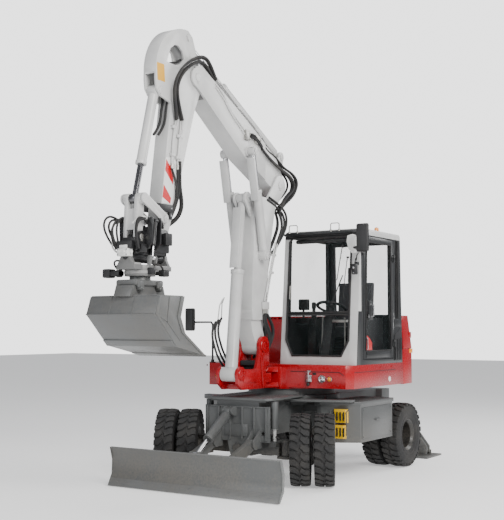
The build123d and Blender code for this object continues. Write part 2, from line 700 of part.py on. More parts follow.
# Counterweight: round tail with an engine bay open to the front
with BuildPart() as counterweight:
    with BuildSketch(Plane.XY.offset(skirt_bottom - 10)) as tail:
        Circle(tail_radius - 40)
        with Locations((tail_front + 2000, 0)):
            Rectangle(4000, 4000, mode=Mode.SUBTRACT)
        with Locations((0, body_half_width + 1000), (0, -body_half_width - 1000)):
            Rectangle(4000, 2000, mode=Mode.SUBTRACT)
    extrude(tail.sketch, amount=weight_top - skirt_bottom + 10)
    brick((-1500, tail_front + 50), (-600, 600), (skirt_bottom - 20, weight_top + 10), mode=Mode.SUBTRACT)
    brick((platform_rear - 0.3, tail_front + 50), (-1200, 1200), (skirt_bottom - 20, weight_top + 10), mode=Mode.SUBTRACT)
save(counterweight, "counterweight")

with BuildPart() as engine_block:
    brick((-1450, -1095), (-420, 420), (1150 + seat_gap, 1850))
    brick((-1330, -1200), (-480, 480), (1400, 1700))
save(engine_block, "engine_block")

# Engine hood: a shell lid over the tail
with BuildPart() as engine_hood:
    with BuildSketch(Plane.XY.offset(weight_top + seat_gap)) as outside:
        Circle(tail_radius - 40)
        with Locations((platform_rear - 8 + 2000, 0)):
            Rectangle(4000, 4000, mode=Mode.SUBTRACT)
        with Locations((0, body_half_width + 1000), (0, -body_half_width - 1000)):
            Rectangle(4000, 2000, mode=Mode.SUBTRACT)
    extrude(outside.sketch, amount=hood_top - weight_top - seat_gap, taper=6)
    with BuildSketch(Plane.XY.offset(weight_top + seat_gap)) as inside:
        Circle(tail_radius - 40 - hood_wall)
        with Locations((platform_rear + 80 + 2000, 0)):
            Rectangle(4000, 4000, mode=Mode.SUBTRACT)
        with Locations((0, body_half_width - hood_wall + 1000), (0, hood_wall - body_half_width - 1000)):
            Rectangle(4000, 2000, mode=Mode.SUBTRACT)
    extrude(inside.sketch, amount=hood_top - weight_top - seat_gap - hood_wall, taper=6, mode=Mode.SUBTRACT)
    for y in hood_hinge_places:
        brick((hood_hinge[0] - 70, hood_hinge[0]), (y - hood_hinge_half, y + hood_hinge_half), (hood_hinge[1], hood_hinge[1] + 14))
        lug_y(hood_hinge, 16, y - hood_hinge_half, y + hood_hinge_half)
        lug_y(hood_hinge, hinge_pin + pin_gap, y - hood_hinge_half - 1, y + hood_hinge_half + 1, mode=Mode.SUBTRACT)
save(engine_hood, "engine_hood")

# Right housing: tanks beside the cab
with BuildPart() as right_housing:
    brick((platform_rear + 15, housing_front), (-body_half_width, -20), (sill_height, housing_top))
    fillet(right_housing.edges().filter_by(Axis.X).sort_by(Axis.Z)[-2:], 50)
    for y in hood_hinge_places:
        for low in (y - hood_hinge_half - 13, y + hood_hinge_half + 1):
            bracket = (
                (platform_rear + 16, hood_hinge[1] - 90), (hood_hinge[0] - 12, hood_hinge[1] - 11),
                (hood_hinge[0] + 4, hood_hinge[1] + 15), (platform_rear + 16, housing_top - 1),
            )
            slab(bracket, low, low + 12)
            lug_y(hood_hinge, 16, low, low + 12)
        lug_y(hood_hinge, hinge_pin, y - hood_hinge_half - 13, y + hood_hinge_half + 13)
save(right_housing, "right_housing")



def lower_screen(gap):
    """Outline in YZ of the lower windscreen, its foot narrowed by two slanted corners."""
    right, left = cab_right + cab_post + gap, cab_left - cab_post - 40 - gap
    low, high = sill_height + 110 + gap, screen_bar - 20 - gap
    return (
        (right + screen_corner, low), (left - screen_corner, low), (left, low + 2 * screen_corner),
        (left, high), (right, high), (right, low + 2 * screen_corner),
    )


# Cab shell with pillars, floor and roof, hollow inside
cab_side = ((cab_front_bottom, sill_height), (cab_front_top, cab_roof), (cab_rear_top, cab_roof), (cab_rear_bottom, sill_height))
with BuildPart() as cab_shell:
    with BuildSketch(side_plane(cab_left)) as side_outline:
        with BuildLine():
            Polyline(*cab_side, close=True)
        make_face()
        fillet(side_outline.vertices().sort_by(Axis.Y)[-2:], roof_radius)
    extrude(side_outline.sketch, amount=cab_left - cab_right)
    inner_side = (
        (cab_front_bottom - cab_wall - 4, sill_height + cab_wall), (cab_front_top - cab_wall, cab_roof - cab_wall),
        (cab_rear_top + cab_wall, cab_roof - cab_wall), (cab_rear_bottom + cab_wall, sill_height + cab_wall),
    )
    slab(inner_side, cab_right + cab_wall, cab_left - cab_wall, mode=Mode.SUBTRACT)
    bar(lower_screen(0), 0, 600, mode=Mode.SUBTRACT)
    brick((0, 600), (cab_right + cab_post, cab_left - cab_post - 40), (screen_bar + 20, cab_roof - 95), mode=Mode.SUBTRACT)
    slab(((door_front, door_bottom), (door_front - 60, door_top), (door_rear, door_top), (door_rear, door_bottom)), cab_left - 60, cab_left + 10, mode=Mode.SUBTRACT)
    slab(((cab_rear_bottom + 130, 1960), (cab_rear_top + 90, door_top), (door_rear - 90, door_top), (door_rear - 90, 1960)), cab_left - 60, cab_left + 10, mode=Mode.SUBTRACT)
    slab(((cab_rear_bottom + 130, 1960), (cab_rear_top + 90, door_top), (150, door_top), (190, 1960)), cab_right - 10, cab_right + 60, mode=Mode.SUBTRACT)
    brick((-1100, -800), (cab_right + 110, cab_left - 110), (2010, 2940), mode=Mode.SUBTRACT)
    visor = (
        (cab_front_top - 30, cab_roof - 72), (cab_front_top - 30, cab_roof - 20),
        (cab_front_top + 62, cab_roof - 32), (cab_front_top + 62, cab_roof - 58),
    )
    slab(visor, cab_right + 12, cab_left - 12)
    lug_z(beacon_centre, beacon_radius, cab_roof - 1, cab_roof + beacon_height)
    for low in hinge_levels:
        for level in (low - hinge_plate, low + hinge_length):
            brick((door_hinge[0] - 14, door_hinge[0] + 6), (cab_left - 1, door_hinge[1]), (level, level + hinge_plate))
            lug_z(door_hinge, 14, level, level + hinge_plate)
        lug_z(door_hinge, hinge_pin, low - 1, low + hinge_length + 1)
save(cab_shell, "cab_shell")

# Cab glass: windscreen in two, rear, right and rear quarter panes
screen_lean = (cab_front_bottom - cab_front_top) / (cab_roof - sill_height)


def front_x(height):
    """X of the cab's front face at a height."""
    return cab_front_bottom - screen_lean * (height - sill_height)


def rear_x(height):
    """X of the cab's rear face at a height."""
    return cab_rear_bottom + (cab_rear_top - cab_rear_bottom) * (height - sill_height) / (cab_roof - sill_height)


with BuildPart() as cab_glass:
    for low, high in ((sill_height + 110, screen_bar - 20), (screen_bar + 20, cab_roof - 95)):
        low, high = low + seat_gap, high - seat_gap
        slab(
            ((front_x(low) - 20, low), (front_x(high) - 20, high), (front_x(high) - 26, high), (front_x(low) - 26, low)),
            cab_right + cab_post + seat_gap, cab_left - cab_post - 40 - seat_gap,
        )
        if high < screen_bar:
            bar(lower_screen(seat_gap), 0, 600, mode=Mode.INTERSECT)
    low, high = 2010 + seat_gap, 2940 - seat_gap
    slab(
        ((rear_x(low) + 20, low), (rear_x(high) + 20, high), (rear_x(high) + 26, high), (rear_x(low) + 26, low)),
        cab_right + 110 + seat_gap, cab_left - 110 - seat_gap,
    )
    low, high = 1960 + seat_gap, door_top - seat_gap
    slab(((cab_rear_bottom + 131, low), (cab_rear_top + 91, high), (149, high), (189, low)), cab_right + 18, cab_right + 24)
    slab(((cab_rear_bottom + 131, low), (cab_rear_top + 91, high), (door_rear - 91, high), (door_rear - 91, low)), cab_left - 24, cab_left - 18)
save(cab_glass, "cab_glass")

# Cab door: a frame in the left side, with its pane
with BuildPart() as cab_door:
    gap = panel_gap
    outer = ((door_front - gap, door_bottom + gap), (door_front - 60 - gap, door_top - gap), (door_rear + gap, door_top - gap), (door_rear + gap, door_bottom + gap))
    slab(outer, cab_left - 44, cab_left + 2)
    pane = ((door_front - 75, door_bottom + 110), (door_front - 125, door_top - 75), (door_rear + 70, door_top - 75), (door_rear + 70, door_bottom + 110))
    slab(pane, cab_left - 60, cab_left + 10, mode=Mode.SUBTRACT)
    for low in hinge_levels:
        level = low + 1
        lug_z(door_hinge, 14, level, level + hinge_length - 2)
        brick((door_hinge[0], door_rear + 45), (cab_left + 1, door_hinge[1] - 6), (level, level + hinge_length - 2))
        lug_z(door_hinge, hinge_pin + pin_gap, level - 1, level + hinge_length, mode=Mode.SUBTRACT)
save(cab_door, "cab_door")
with BuildPart() as door_glass:
    pane = ((door_front - 75.5, door_bottom + 110.3), (door_front - 125.5, door_top - 75.3), (door_rear + 70.3, door_top - 75.3), (door_rear + 70.3, door_bottom + 110.3))
    slab(pane, cab_left - 24, cab_left - 18)
save(door_glass, "door_glass")

# Seat: suspension box, cushion, backrest and headrest
seat_y = (cab_right + cab_left) / 2 + 20
with BuildPart() as seat:
    brick((-640, -260), (seat_y - 190, seat_y + 190), (sill_height + cab_wall + seat_gap, 1700))
    brick((-690, -170), (seat_y - 250, seat_y + 250), (1700, 1850))
    slab(((-700, 1800), (-560, 1800), (-640, 2440), (-740, 2440)), seat_y - 240, seat_y + 240)
    slab(((-735, 2400), (-650, 2400), (-665, 2640), (-735, 2640)), seat_y - 130, seat_y + 130)
save(seat, "seat")

# Controls: side consoles, steering column and wheel, pedals, monitor
with BuildPart() as console:
    for side in (1, -1):
        low, high = sorted((seat_y + side * 285, seat_y + side * 400))
        brick((-620, -60), (low, high), (sill_height + cab_wall + seat_gap, 1960))
        lug_z((-120, seat_y + side * 345), 22, 1950, 2120)
    slab(((130, sill_height + cab_wall + seat_gap), (250, sill_height + cab_wall + seat_gap), (80, 2085), (10, 2070)), seat_y - 60, seat_y + 60)
    with Locations(Location((40, seat_y, 2090), (0, -22, 0))):
        Cylinder(wheel_radius, 24)
        Cylinder(wheel_radius - 26, 25, mode=Mode.SUBTRACT)
        Box(2 * wheel_radius - 26, 40, 16)
        Cylinder(34, 70)
save(console, "console")

# Mirrors on tube arms
with BuildPart() as mirrors:
    arm_level = cab_roof - mirror_drop
    brick((545, 600), (1235, 1400), (arm_level - 65, arm_level + 280))
    lug_y((565, arm_level), 16, cab_left + 4, 1240)
    strut = ((190, arm_level - 60), (190, arm_level - 20), (565, arm_level + 16), (565, arm_level - 16))
    slab(strut, cab_left + seat_gap, cab_left + 30)
    brick((395, 450), (-1400, -1245), (1790, 2100))
    lug_y((430, 1900), 16, -1260, -940)
    lug_z((430, -950), 20, sill_height + seat_gap, 1920)
save(mirrors, "mirrors")

# Lamps on the skirt
with BuildPart() as lamps:
    for y, radius in ((745, 48), (850, 34), (-700, 42), (-790, 30)):
        lug_x((y, 1215), radius, skirt_front + seat_gap, skirt_front + 26)
save(lamps, "lamps")

# Swing post: two side plates round the boom foot and the lift ram's foot
with BuildPart() as swing_post:
    for side in (1, -1):
        low, high = sorted((side * post_inner, side * (post_inner + post_plate)))
        outline = (
            (870, 1105), (1400, 1105), (1500, 1180), (1500, 1290), (1340, 1345), (1100, 1340), (1035, 1500),
            (1020, 1617), (800, 1617), (800, 1375), (870, 1375),
        )
        slab(outline, low, high, soft=30)
        lug_y(boom_foot, 115, low, high)
        lug_y(lift_foot, 92, low, high)
    brick((870, 1330), (-post_inner - 2, post_inner + 2), (1105, 1165))
    brick((750, 900), (-130, 130), (1166, 1284))
    lug_z((nose_pin, 0), 130, 1166, 1284)
    brick((870, 910), (-post_inner - 2, post_inner + 2), (1150, 1400))
    lug_z((nose_pin, 0), nose_pin_radius + pin_gap, 1160, 1290, mode=Mode.SUBTRACT)
    lug_y(boom_foot, main_pin, -post_inner - post_plate, post_inner + post_plate)
    lug_y(lift_foot, main_pin, -post_inner - post_plate, post_inner + post_plate)
save(swing_post, "swing_post")

# Lower boom: narrow neck at the foot, box section, fork at the knee
with BuildPart() as lower_boom:
    slab(((803, 1617), (1025, 1617), (1120, 1800), (1165, 2050), (830, 2050), (875, 1812)), -neck_half_width, neck_half_width)
    lug_y(boom_foot, 112, -neck_half_width, neck_half_width)
    slab(
        ((862, 1930), (1150, 1930), (1165, 2100), (1150, 2490), (1100, 3200), (1060, 3440), (590, 3440), (640, 3280), (780, 2672)),
        -lower_half_width, lower_half_width,
    )
    for side in (1, -1):
        low, high = sorted((side * 110, side * lower_half_width))
        slab(((555, 3400), (840, 3400), (800, 3450), (622, 3674), (400, 3560)), low, high)
        lug_y(knee, 125, low, high)
        low, high = sorted((side * 58, side * 86))
        slab(((1070, 3180), (1120, 3180), (1250, 3370), (1180, 3478), (1060, 3430)), low, high)
        lug_y(lift_top, 78, low, high)
        low, high = sorted((side * 100, side * 152))
        lug_y(adjust_base, 62, low, high)
        low, high = sorted((side * 100, side * 250))
        lug_y(adjust_base, main_pin - 5, low, high)
    lug_y(boom_foot, main_pin + pin_gap, -200, 200, mode=Mode.SUBTRACT)
    lug_y(knee, main_pin, -lower_half_width, lower_half_width)
save(lower_boom, "lower_boom")

# Upper boom: heel at the knee, tapered box, fork at the tip
with BuildPart() as upper_boom:
    heel = ((450, 3482), (690, 3600), (840, 3668), (840, 4120), (560, 3980), (400, 3765), (395, 3560))
    slab(heel, -heel_half_width, heel_half_width, soft=30)
    slab(((828, 3662), (1275, 3862), (1750, 4180), (2165, 4452), (2330, 4560), (2300, 4760), (2200, 4790), (1250, 4330), (828, 4115)), -upper_half_width, upper_half_width)
    lug_y(arm_pivot, 110, -upper_half_width, upper_half_width)
    lug_y(arm_pivot, fork_radius, -hitch_inner, hitch_inner, mode=Mode.SUBTRACT)
    lug_y(arm_pivot, main_pin, -upper_half_width, upper_half_width)
    for side in (1, -1):
        low, high = sorted((side * 40, side * 70))
        slab(((420, 3780), (590, 3975), (455, 3980), (425, 4022), (308, 4022), (340, 3900)), low, high)
        lug_y(arm_base, 62, low, high)
        low, high = sorted((side * 100, side * 152))
        lug_y(adjust_top, 60, low, high)
    lug_y(arm_base, small_pin, -70, 70)
    lug_y(knee, main_pin + pin_gap, -200, 200, mode=Mode.SUBTRACT)
save(upper_boom, "upper_boom")



def hook_point(radius, turn):
    """Point of the XZ plane on a circle about the hook's centre, turn in degrees."""
    return (hook_centre[0] + radius * cos(radians(turn)), hook_centre[1] + radius * sin(radians(turn)))


# Arm: box section with the hook bracket at its head
hook_end = hook_point(hook_radius, hook_arc[0])
hook_head = hook_point(hook_radius, hook_arc[0] + hook_arc[1])
with BuildPart() as arm:
    slab(((2175, 4500), (2290, 4250), (2665, 3100), (2780, 2790), (2920, 2790), (2885, 3150), (2735, 4200), (2700, 4480), (2420, 4720), (2160, 4700)), -arm_half_width, arm_half_width)
    lug_y(arm_tip, 78, -arm_half_width, arm_half_width)
    lug_y(arm_pivot, 125, -arm_half_width, arm_half_width)
    for side in (1, -1):
        low, high = sorted((side * hook_inner, side * arm_half_width))
        with BuildSketch(side_plane(high)) as hook:
            with BuildLine():
                Polyline((2160, 4680), (2330, 5080), hook_head)
                CenterArc(hook_centre, hook_radius, hook_arc[0], hook_arc[1])
                Polyline(hook_end, (2990, 4479), (2975, 4380), (2912, 4312), (2720, 4260), (2500, 4300), (2160, 4680))
            make_face()
            with BuildLine():
                Polyline(*hook_hole, close=True)
            make_face(mode=Mode.SUBTRACT)
        extrude(hook.sketch, amount=high - low)
    with BuildSketch(side_plane(hook_inner + 1)) as band:
        with BuildLine():
            CenterArc(hook_centre, hook_radius, web_arc[0], web_arc[1])
            CenterArc(hook_centre, hook_radius - hook_web, web_arc[0], web_arc[1])
            for turn in (web_arc[0], web_arc[0] + web_arc[1]):
                Line(hook_point(hook_radius, turn), hook_point(hook_radius - hook_web, turn))
        make_face()
    extrude(band.sketch, amount=2 * hook_inner + 2)
    lug_y(bucket_base, small_pin, -arm_half_width, arm_half_width)
    lug_y(rocker_pivot, small_pin, -rocker_inner - rocker_plate, rocker_inner + rocker_plate)
    lug_y(arm_pivot, main_pin + pin_gap, -200, 200, mode=Mode.SUBTRACT)
    lug_y(arm_tip, small_pin + pin_gap, -200, 200, mode=Mode.SUBTRACT)
save(arm, "arm")

# Rocker plates, one each side of the arm
with BuildPart() as rocker:
    for side in (1, -1):
        low, high = sorted((side * rocker_inner, side * (rocker_inner + rocker_plate)))
        strap((rocker_pivot, rocker_pin), (55, 55), low, high)
    lug_y(rocker_pivot, small_pin + pin_gap, -200, 200, mode=Mode.SUBTRACT)
save(rocker, "rocker")

# Bucket link: two plates with a web, on the tiltrotator's front pin
with BuildPart() as bucket_link:
    for side in (1, -1):
        low, high = sorted((side * 46, side * 86))
        strap((rocker_pin, link_low), (56, 50), low, high)
        low, high = sorted((side * 46, side * 117))
        lug_y(rocker_pin, 56, low, high)
    slab(((3195, 3060), (3275, 3060), (3295, 2840), (3215, 2840)), -50, 50)
    lug_y(link_low, small_pin + pin_gap, -200, 200, mode=Mode.SUBTRACT)
save(bucket_link, "bucket_link")

# Tilt hitch: ears for the arm and the link, axle below, wings for the tilt rams
with BuildPart() as tilt_hitch:
    for side in (1, -1):
        low, high = sorted((side * hitch_inner, side * (hitch_inner + hitch_plate)))
        cheek = (
            (2780, tilt_height + 60), (3330, tilt_height + 60), (3310, link_low[1]), (3250, link_low[1] + 63),
            (2850, arm_tip[1] + 75), (2785, arm_tip[1]),
        )
        slab(cheek, low, high, soft=20)
        lug_y(arm_tip, 72, low, high)
        lug_y(link_low, 62, low, high)
    brick((tilt_rear, tilt_front), (-hitch_inner - 2, hitch_inner + 2), (tilt_height + 32, tilt_height + 100))
    for side in (1, -1):
        low, high = sorted((side * 62, side * 130))
        well = (tilt_height + 20, tilt_height + 155)
        brick((rotor_axis - 58, rotor_axis + 58), (low, high), well, mode=Mode.SUBTRACT)
        inner, outer, top = tilt_base[0] - wing_half, tilt_base[0] + wing_half + 4, tilt_base[1] + 33
        wing = (
            (90, tilt_height + 80), (inner, tilt_height + 80), (outer - 10, tilt_height + 140), (outer, top - 33),
            (outer - 6, top), (inner, top), (inner, tilt_height + 215), (90, tilt_height + 182),
        )
        for x in (rotor_axis - 78, rotor_axis + 60):
            bar(tuple((side * y, z) for y, z in wing), x, x + 18)
        lug_x((side * tilt_base[0], tilt_base[1]), 16, rotor_axis - 78, rotor_axis + 78)
    lug_x((0, tilt_height), 55, tilt_rear, tilt_front)
    brick((tilt_rear, tilt_front), (-50, 50), (tilt_height, tilt_height + 40))
    lug_x((0, tilt_height), small_pin, tilt_rear - 60, tilt_front + 60)
    lug_y(arm_tip, small_pin, -hitch_inner - hitch_plate, hitch_inner + hitch_plate)
    lug_y(link_low, small_pin, -hitch_inner - hitch_plate, hitch_inner + hitch_plate)
save(tilt_hitch, "tilt_hitch")

# Tilt frame: cradle with end lugs, ram ears and the rotor housing
with BuildPart() as tilt_frame:
    brick((tilt_rear - 55, tilt_front + 55), (-118, 118), (rotor_top, cradle_top))
    lug_z((rotor_axis, 0), rotor_radius + 20, rotor_bottom, cradle_top)
    for x in (tilt_rear - 55, tilt_front + 15):
        bar(((-110, cradle_top - 10), (-62, tilt_height), (62, tilt_height), (110, cradle_top - 10)), x, x + 40)
        lug_x((0, tilt_height), 66, x, x + 40)
        lug_x((0, tilt_height), small_pin + pin_gap, x - 1, x + 41, mode=Mode.SUBTRACT)
    for side in (1, -1):
        inner, outer, middle_y = tilt_eye[0] - 27, tilt_eye[0] + 27, tilt_eye[1]
        ear = (
            (110, rotor_top - 20), (150, rotor_top - 20), (outer, middle_y - 30), (outer, middle_y + 10),
            (outer - 14, middle_y + 28), (inner + 14, middle_y + 28), (inner, middle_y + 10), (inner, cradle_top),
        )
        for x in (rotor_axis - 52, rotor_axis + 34):
            bar(tuple((side * y, z) for y, z in ear), x, x + 18)
save(tilt_frame, "tilt_frame")

# Bucket: rotating coupler, bracket and the open shell
with BuildPart() as bucket:
    lug_z((rotor_axis, 0), rotor_radius - 30, coupler_top - 5, rotor_bottom - seat_gap)
    brick((rotor_axis - 215, rotor_axis + 215), (-125, 125), (coupler_bottom, coupler_top))
    slab(((2870, coupler_bottom + 2), (3380, coupler_bottom + 2), (3420, 2150), (2830, 2150)), -108, 108)
    top_left, top_right, heel_point, toe, edge = bucket_outline
    shell = (top_left, top_right, heel_point, toe, edge, *reversed(bucket_lip))
    slab(shell, -bucket_half_width, bucket_half_width)
    inner_shell = (
        (top_left[0] - 200, top_left[1] - bucket_wall), (top_right[0] - 12, top_right[1] - bucket_wall),
        (heel_point[0] - 20, heel_point[1] + 4), (toe[0] - 8, toe[1] + bucket_wall + 4), (edge[0] - 20, edge[1] + bucket_wall - 6),
        (edge[0] - 200, edge[1] + 200),
    )
    slab(inner_shell, -bucket_half_width + bucket_wall, bucket_half_width - bucket_wall, mode=Mode.SUBTRACT)
save(bucket, "bucket")
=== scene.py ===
import json
import math
import bpy
import bmesh
from mathutils import Matrix, Vector


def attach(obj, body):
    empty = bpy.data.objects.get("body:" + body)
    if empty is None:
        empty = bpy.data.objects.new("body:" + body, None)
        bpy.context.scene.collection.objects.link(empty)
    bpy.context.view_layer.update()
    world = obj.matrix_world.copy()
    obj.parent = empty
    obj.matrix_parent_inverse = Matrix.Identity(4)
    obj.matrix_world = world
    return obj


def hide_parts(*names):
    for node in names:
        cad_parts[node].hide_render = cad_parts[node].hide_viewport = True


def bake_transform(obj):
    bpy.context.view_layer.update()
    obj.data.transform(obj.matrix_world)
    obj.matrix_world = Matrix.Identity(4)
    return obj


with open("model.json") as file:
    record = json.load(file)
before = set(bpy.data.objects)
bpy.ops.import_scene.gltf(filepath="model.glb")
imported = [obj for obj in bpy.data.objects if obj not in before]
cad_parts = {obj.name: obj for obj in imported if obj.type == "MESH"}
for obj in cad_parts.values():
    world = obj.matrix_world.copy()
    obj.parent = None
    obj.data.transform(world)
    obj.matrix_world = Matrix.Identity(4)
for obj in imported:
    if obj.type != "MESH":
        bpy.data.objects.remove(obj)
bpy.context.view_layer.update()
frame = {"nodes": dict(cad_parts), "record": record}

# Wheeled excavator. Sizes in the dictionaries are millimetres from the point on the ground midway
# between the axles; place() turns them into the model's metres.
cadNodes = frame["nodes"]
wheelbaseShift = 473.0
axleX = 1125.0
wheelTurn = math.radians(27.0)
print("frame loaded:", len(cadNodes), "nodes")


def place(x, y, z):
    return Vector((x - wheelbaseShift, y, z)) / 1000


class Wire:  # a socket with arithmetic: each operation adds its node
    def __init__(self, paint, socket):
        self.paint = paint
        self.socket = socket

    def calculate(self, operation, first, second):
        return self.paint.node("ShaderNodeMath", {"operation": operation}, {0: first, 1: second})

    def __add__(self, other):
        return self.calculate("ADD", self, other)

    def __mul__(self, other):
        return self.calculate("MULTIPLY", self, other)

    def higher(self, other):
        return self.calculate("MAXIMUM", self, other)

    def clamped(self):
        return self.paint.node("ShaderNodeClamp", {}, {"Value": self})

    __radd__ = __add__
    __rmul__ = __mul__


class Paint:  # one material and its nodes
    def __init__(self, name):
        self.material = bpy.data.materials.new(name)
        self.material.use_nodes = True
        self.tree = self.material.node_tree
        self.shader = next(n for n in self.tree.nodes if n.type == "BSDF_PRINCIPLED")
        self.spot = self.node("ShaderNodeTexCoord", {}, {}, "Object")

    def node(self, kind, settings, values, output=0):
        made = self.tree.nodes.new(kind)
        for key, value in settings.items():
            if key == "stops":
                ramp = made.color_ramp
                while len(ramp.elements) < len(value):
                    ramp.elements.new(0.5)
                for element, (position, colour) in zip(ramp.elements, value):
                    element.position = position
                    element.color = colour
            else:
                setattr(made, key, value)
        for key, value in values.items():
            self.feed(made.inputs[key], value)
        return Wire(self, made.outputs[output])

    def feed(self, inlet, value):
        # links a wire or sets a number, a vector or a colour
        if isinstance(value, Wire):
            self.tree.links.new(value.socket, inlet)
        elif isinstance(value, tuple) and inlet.type == "RGBA":
            inlet.default_value = (*value[:3], 1)
        else:
            inlet.default_value = value

    def noise(self, scale, detail=3, rough=0.55):
        return self.node("ShaderNodeTexNoise", {},
                         {"Vector": self.spot, "Scale": scale, "Detail": detail, "Roughness": rough})

    def height(self):
        return self.node("ShaderNodeSeparateXYZ", {}, {"Vector": self.spot}, 2)

    def between(self, value, low, high, start=0.0, end=1.0):
        return self.node("ShaderNodeMapRange", {"interpolation_type": "SMOOTHSTEP"},
                         {"Value": value, "From Min": low, "From Max": high, "To Min": start,
                          "To Max": end})

    def mix(self, factor, first, second):
        made = self.tree.nodes.new("ShaderNodeMix")
        made.data_type = "RGBA"
        for key, value in ((0, factor), (6, first), (7, second)):
            self.feed(made.inputs[key], value)
        return Wire(self, made.outputs[2])

    def bump(self, height, strength, distance):
        return self.node("ShaderNodeBump", {},
                         {"Height": height, "Strength": strength, "Distance": distance})

    def into(self, name, value):
        self.feed(self.shader.inputs[name], value)


def sprayed(name, colour, dirt=0.25, gloss=0.34, dirtTop=1.1, wear=0.15):
    paint = Paint(name)
    cloud = paint.noise(1.7, 4)
    fine = paint.noise(38, 5, 0.65)
    shade = tuple(c * 0.80 for c in colour)
    tone = paint.mix(paint.between(cloud, 0.35, 0.68), colour, shade)
    speck = paint.between(paint.noise(95, 4, 0.7), 0.66, 0.74) * wear
    tone = paint.mix(speck, tone, tuple(c * 0.45 + 0.02 for c in colour))
    low = paint.between(paint.height(), dirtTop, dirtTop * 0.15)
    dust = (low * paint.between(fine + cloud, 0.75, 1.30) * dirt * 2.0).clamped()
    tone = paint.mix(dust, tone, (0.235, 0.205, 0.165))
    paint.into("Base Color", tone)
    paint.into("Roughness", paint.between(fine, 0.2, 0.8, gloss - 0.05, gloss + 0.08) + dust * 0.35)
    paint.into("Normal", paint.bump(paint.noise(420, 2) + speck * -1.5, 0.10, 0.0006))
    paint.into("Coat Weight", 0.15)
    paint.into("Coat Roughness", 0.18)
    paint.into("Specular IOR Level", 0.45)
    return paint.material


def moulded(name, colour, rough=0.5, grain=260, depth=0.25, dust=0.2):
    paint = Paint(name)
    cloud = paint.noise(4, 4)
    cells = paint.node("ShaderNodeTexVoronoi", {}, {"Vector": paint.spot, "Scale": grain})
    grey = (paint.between(cloud, 0.42, 0.72) * dust).clamped()
    paint.into("Base Color", paint.mix(grey, colour, tuple(0.7 * c + 0.03 for c in colour)))
    paint.into("Roughness", paint.between(cloud, 0.3, 0.7, rough - 0.07, rough + 0.09))
    paint.into("Normal", paint.bump(cells, depth, 0.0004))
    return paint.material


def metal(name, colour, rough=0.3, metallic=1.0):
    paint = Paint(name)
    cloud = paint.noise(6, 5, 0.6)
    scratch = paint.noise(90, 3, 0.7)
    paint.into("Base Color",
               paint.mix(paint.between(cloud, 0.3, 0.7), colour, tuple(c * 0.72 for c in colour)))
    paint.into("Metallic", metallic)
    paint.into("Roughness", paint.between(scratch, 0.25, 0.75, rough * 0.75, rough * 1.35))
    paint.into("Normal", paint.bump(scratch, 0.06, 0.0003))
    return paint.material


def rubberFinish(name, colour, dusty=0.5):
    paint = Paint(name)
    cloud = paint.noise(5, 5, 0.6)
    fine = paint.noise(60, 4, 0.7)
    dust = (paint.between(cloud + fine * 0.5, 0.62, 1.02) * dusty).clamped()
    paint.into("Base Color", paint.mix(dust, colour, (0.105, 0.095, 0.082)))
    paint.into("Roughness", paint.between(fine, 0.3, 0.7, 0.62, 0.86))
    paint.into("Normal", paint.bump(paint.noise(310, 3), 0.22, 0.0007))
    return paint.material


def clearGlass(name, colour, alpha):
    paint = Paint(name)
    smear = paint.between(paint.noise(2.4, 4), 0.45, 0.75)
    paint.into("Base Color", colour)
    paint.into("Roughness", smear * 0.06 + 0.02)
    paint.into("Alpha", smear * 0.05 + alpha)
    paint.into("IOR", 1.5)
    paint.into("Coat Weight", 0.25)
    paint.material.use_transparency_overlap = False
    return paint.material


def wovenCloth(name, colour):
    paint = Paint(name)
    wave = {"wave_type": "BANDS"}
    across = paint.node("ShaderNodeTexWave", {**wave, "bands_direction": "Y"},
                        {"Vector": paint.spot, "Scale": 70})
    along = paint.node("ShaderNodeTexWave", {**wave, "bands_direction": "Z"},
                       {"Vector": paint.spot, "Scale": 70})
    weave = across.higher(along)
    paint.into("Base Color", paint.mix(weave * 0.5, colour, tuple(c * 2.1 + 0.01 for c in colour)))
    paint.into("Roughness", 0.85)
    paint.into("Sheen Weight", 0.25)
    paint.into("Normal", paint.bump(weave, 0.3, 0.0008))
    return paint.material


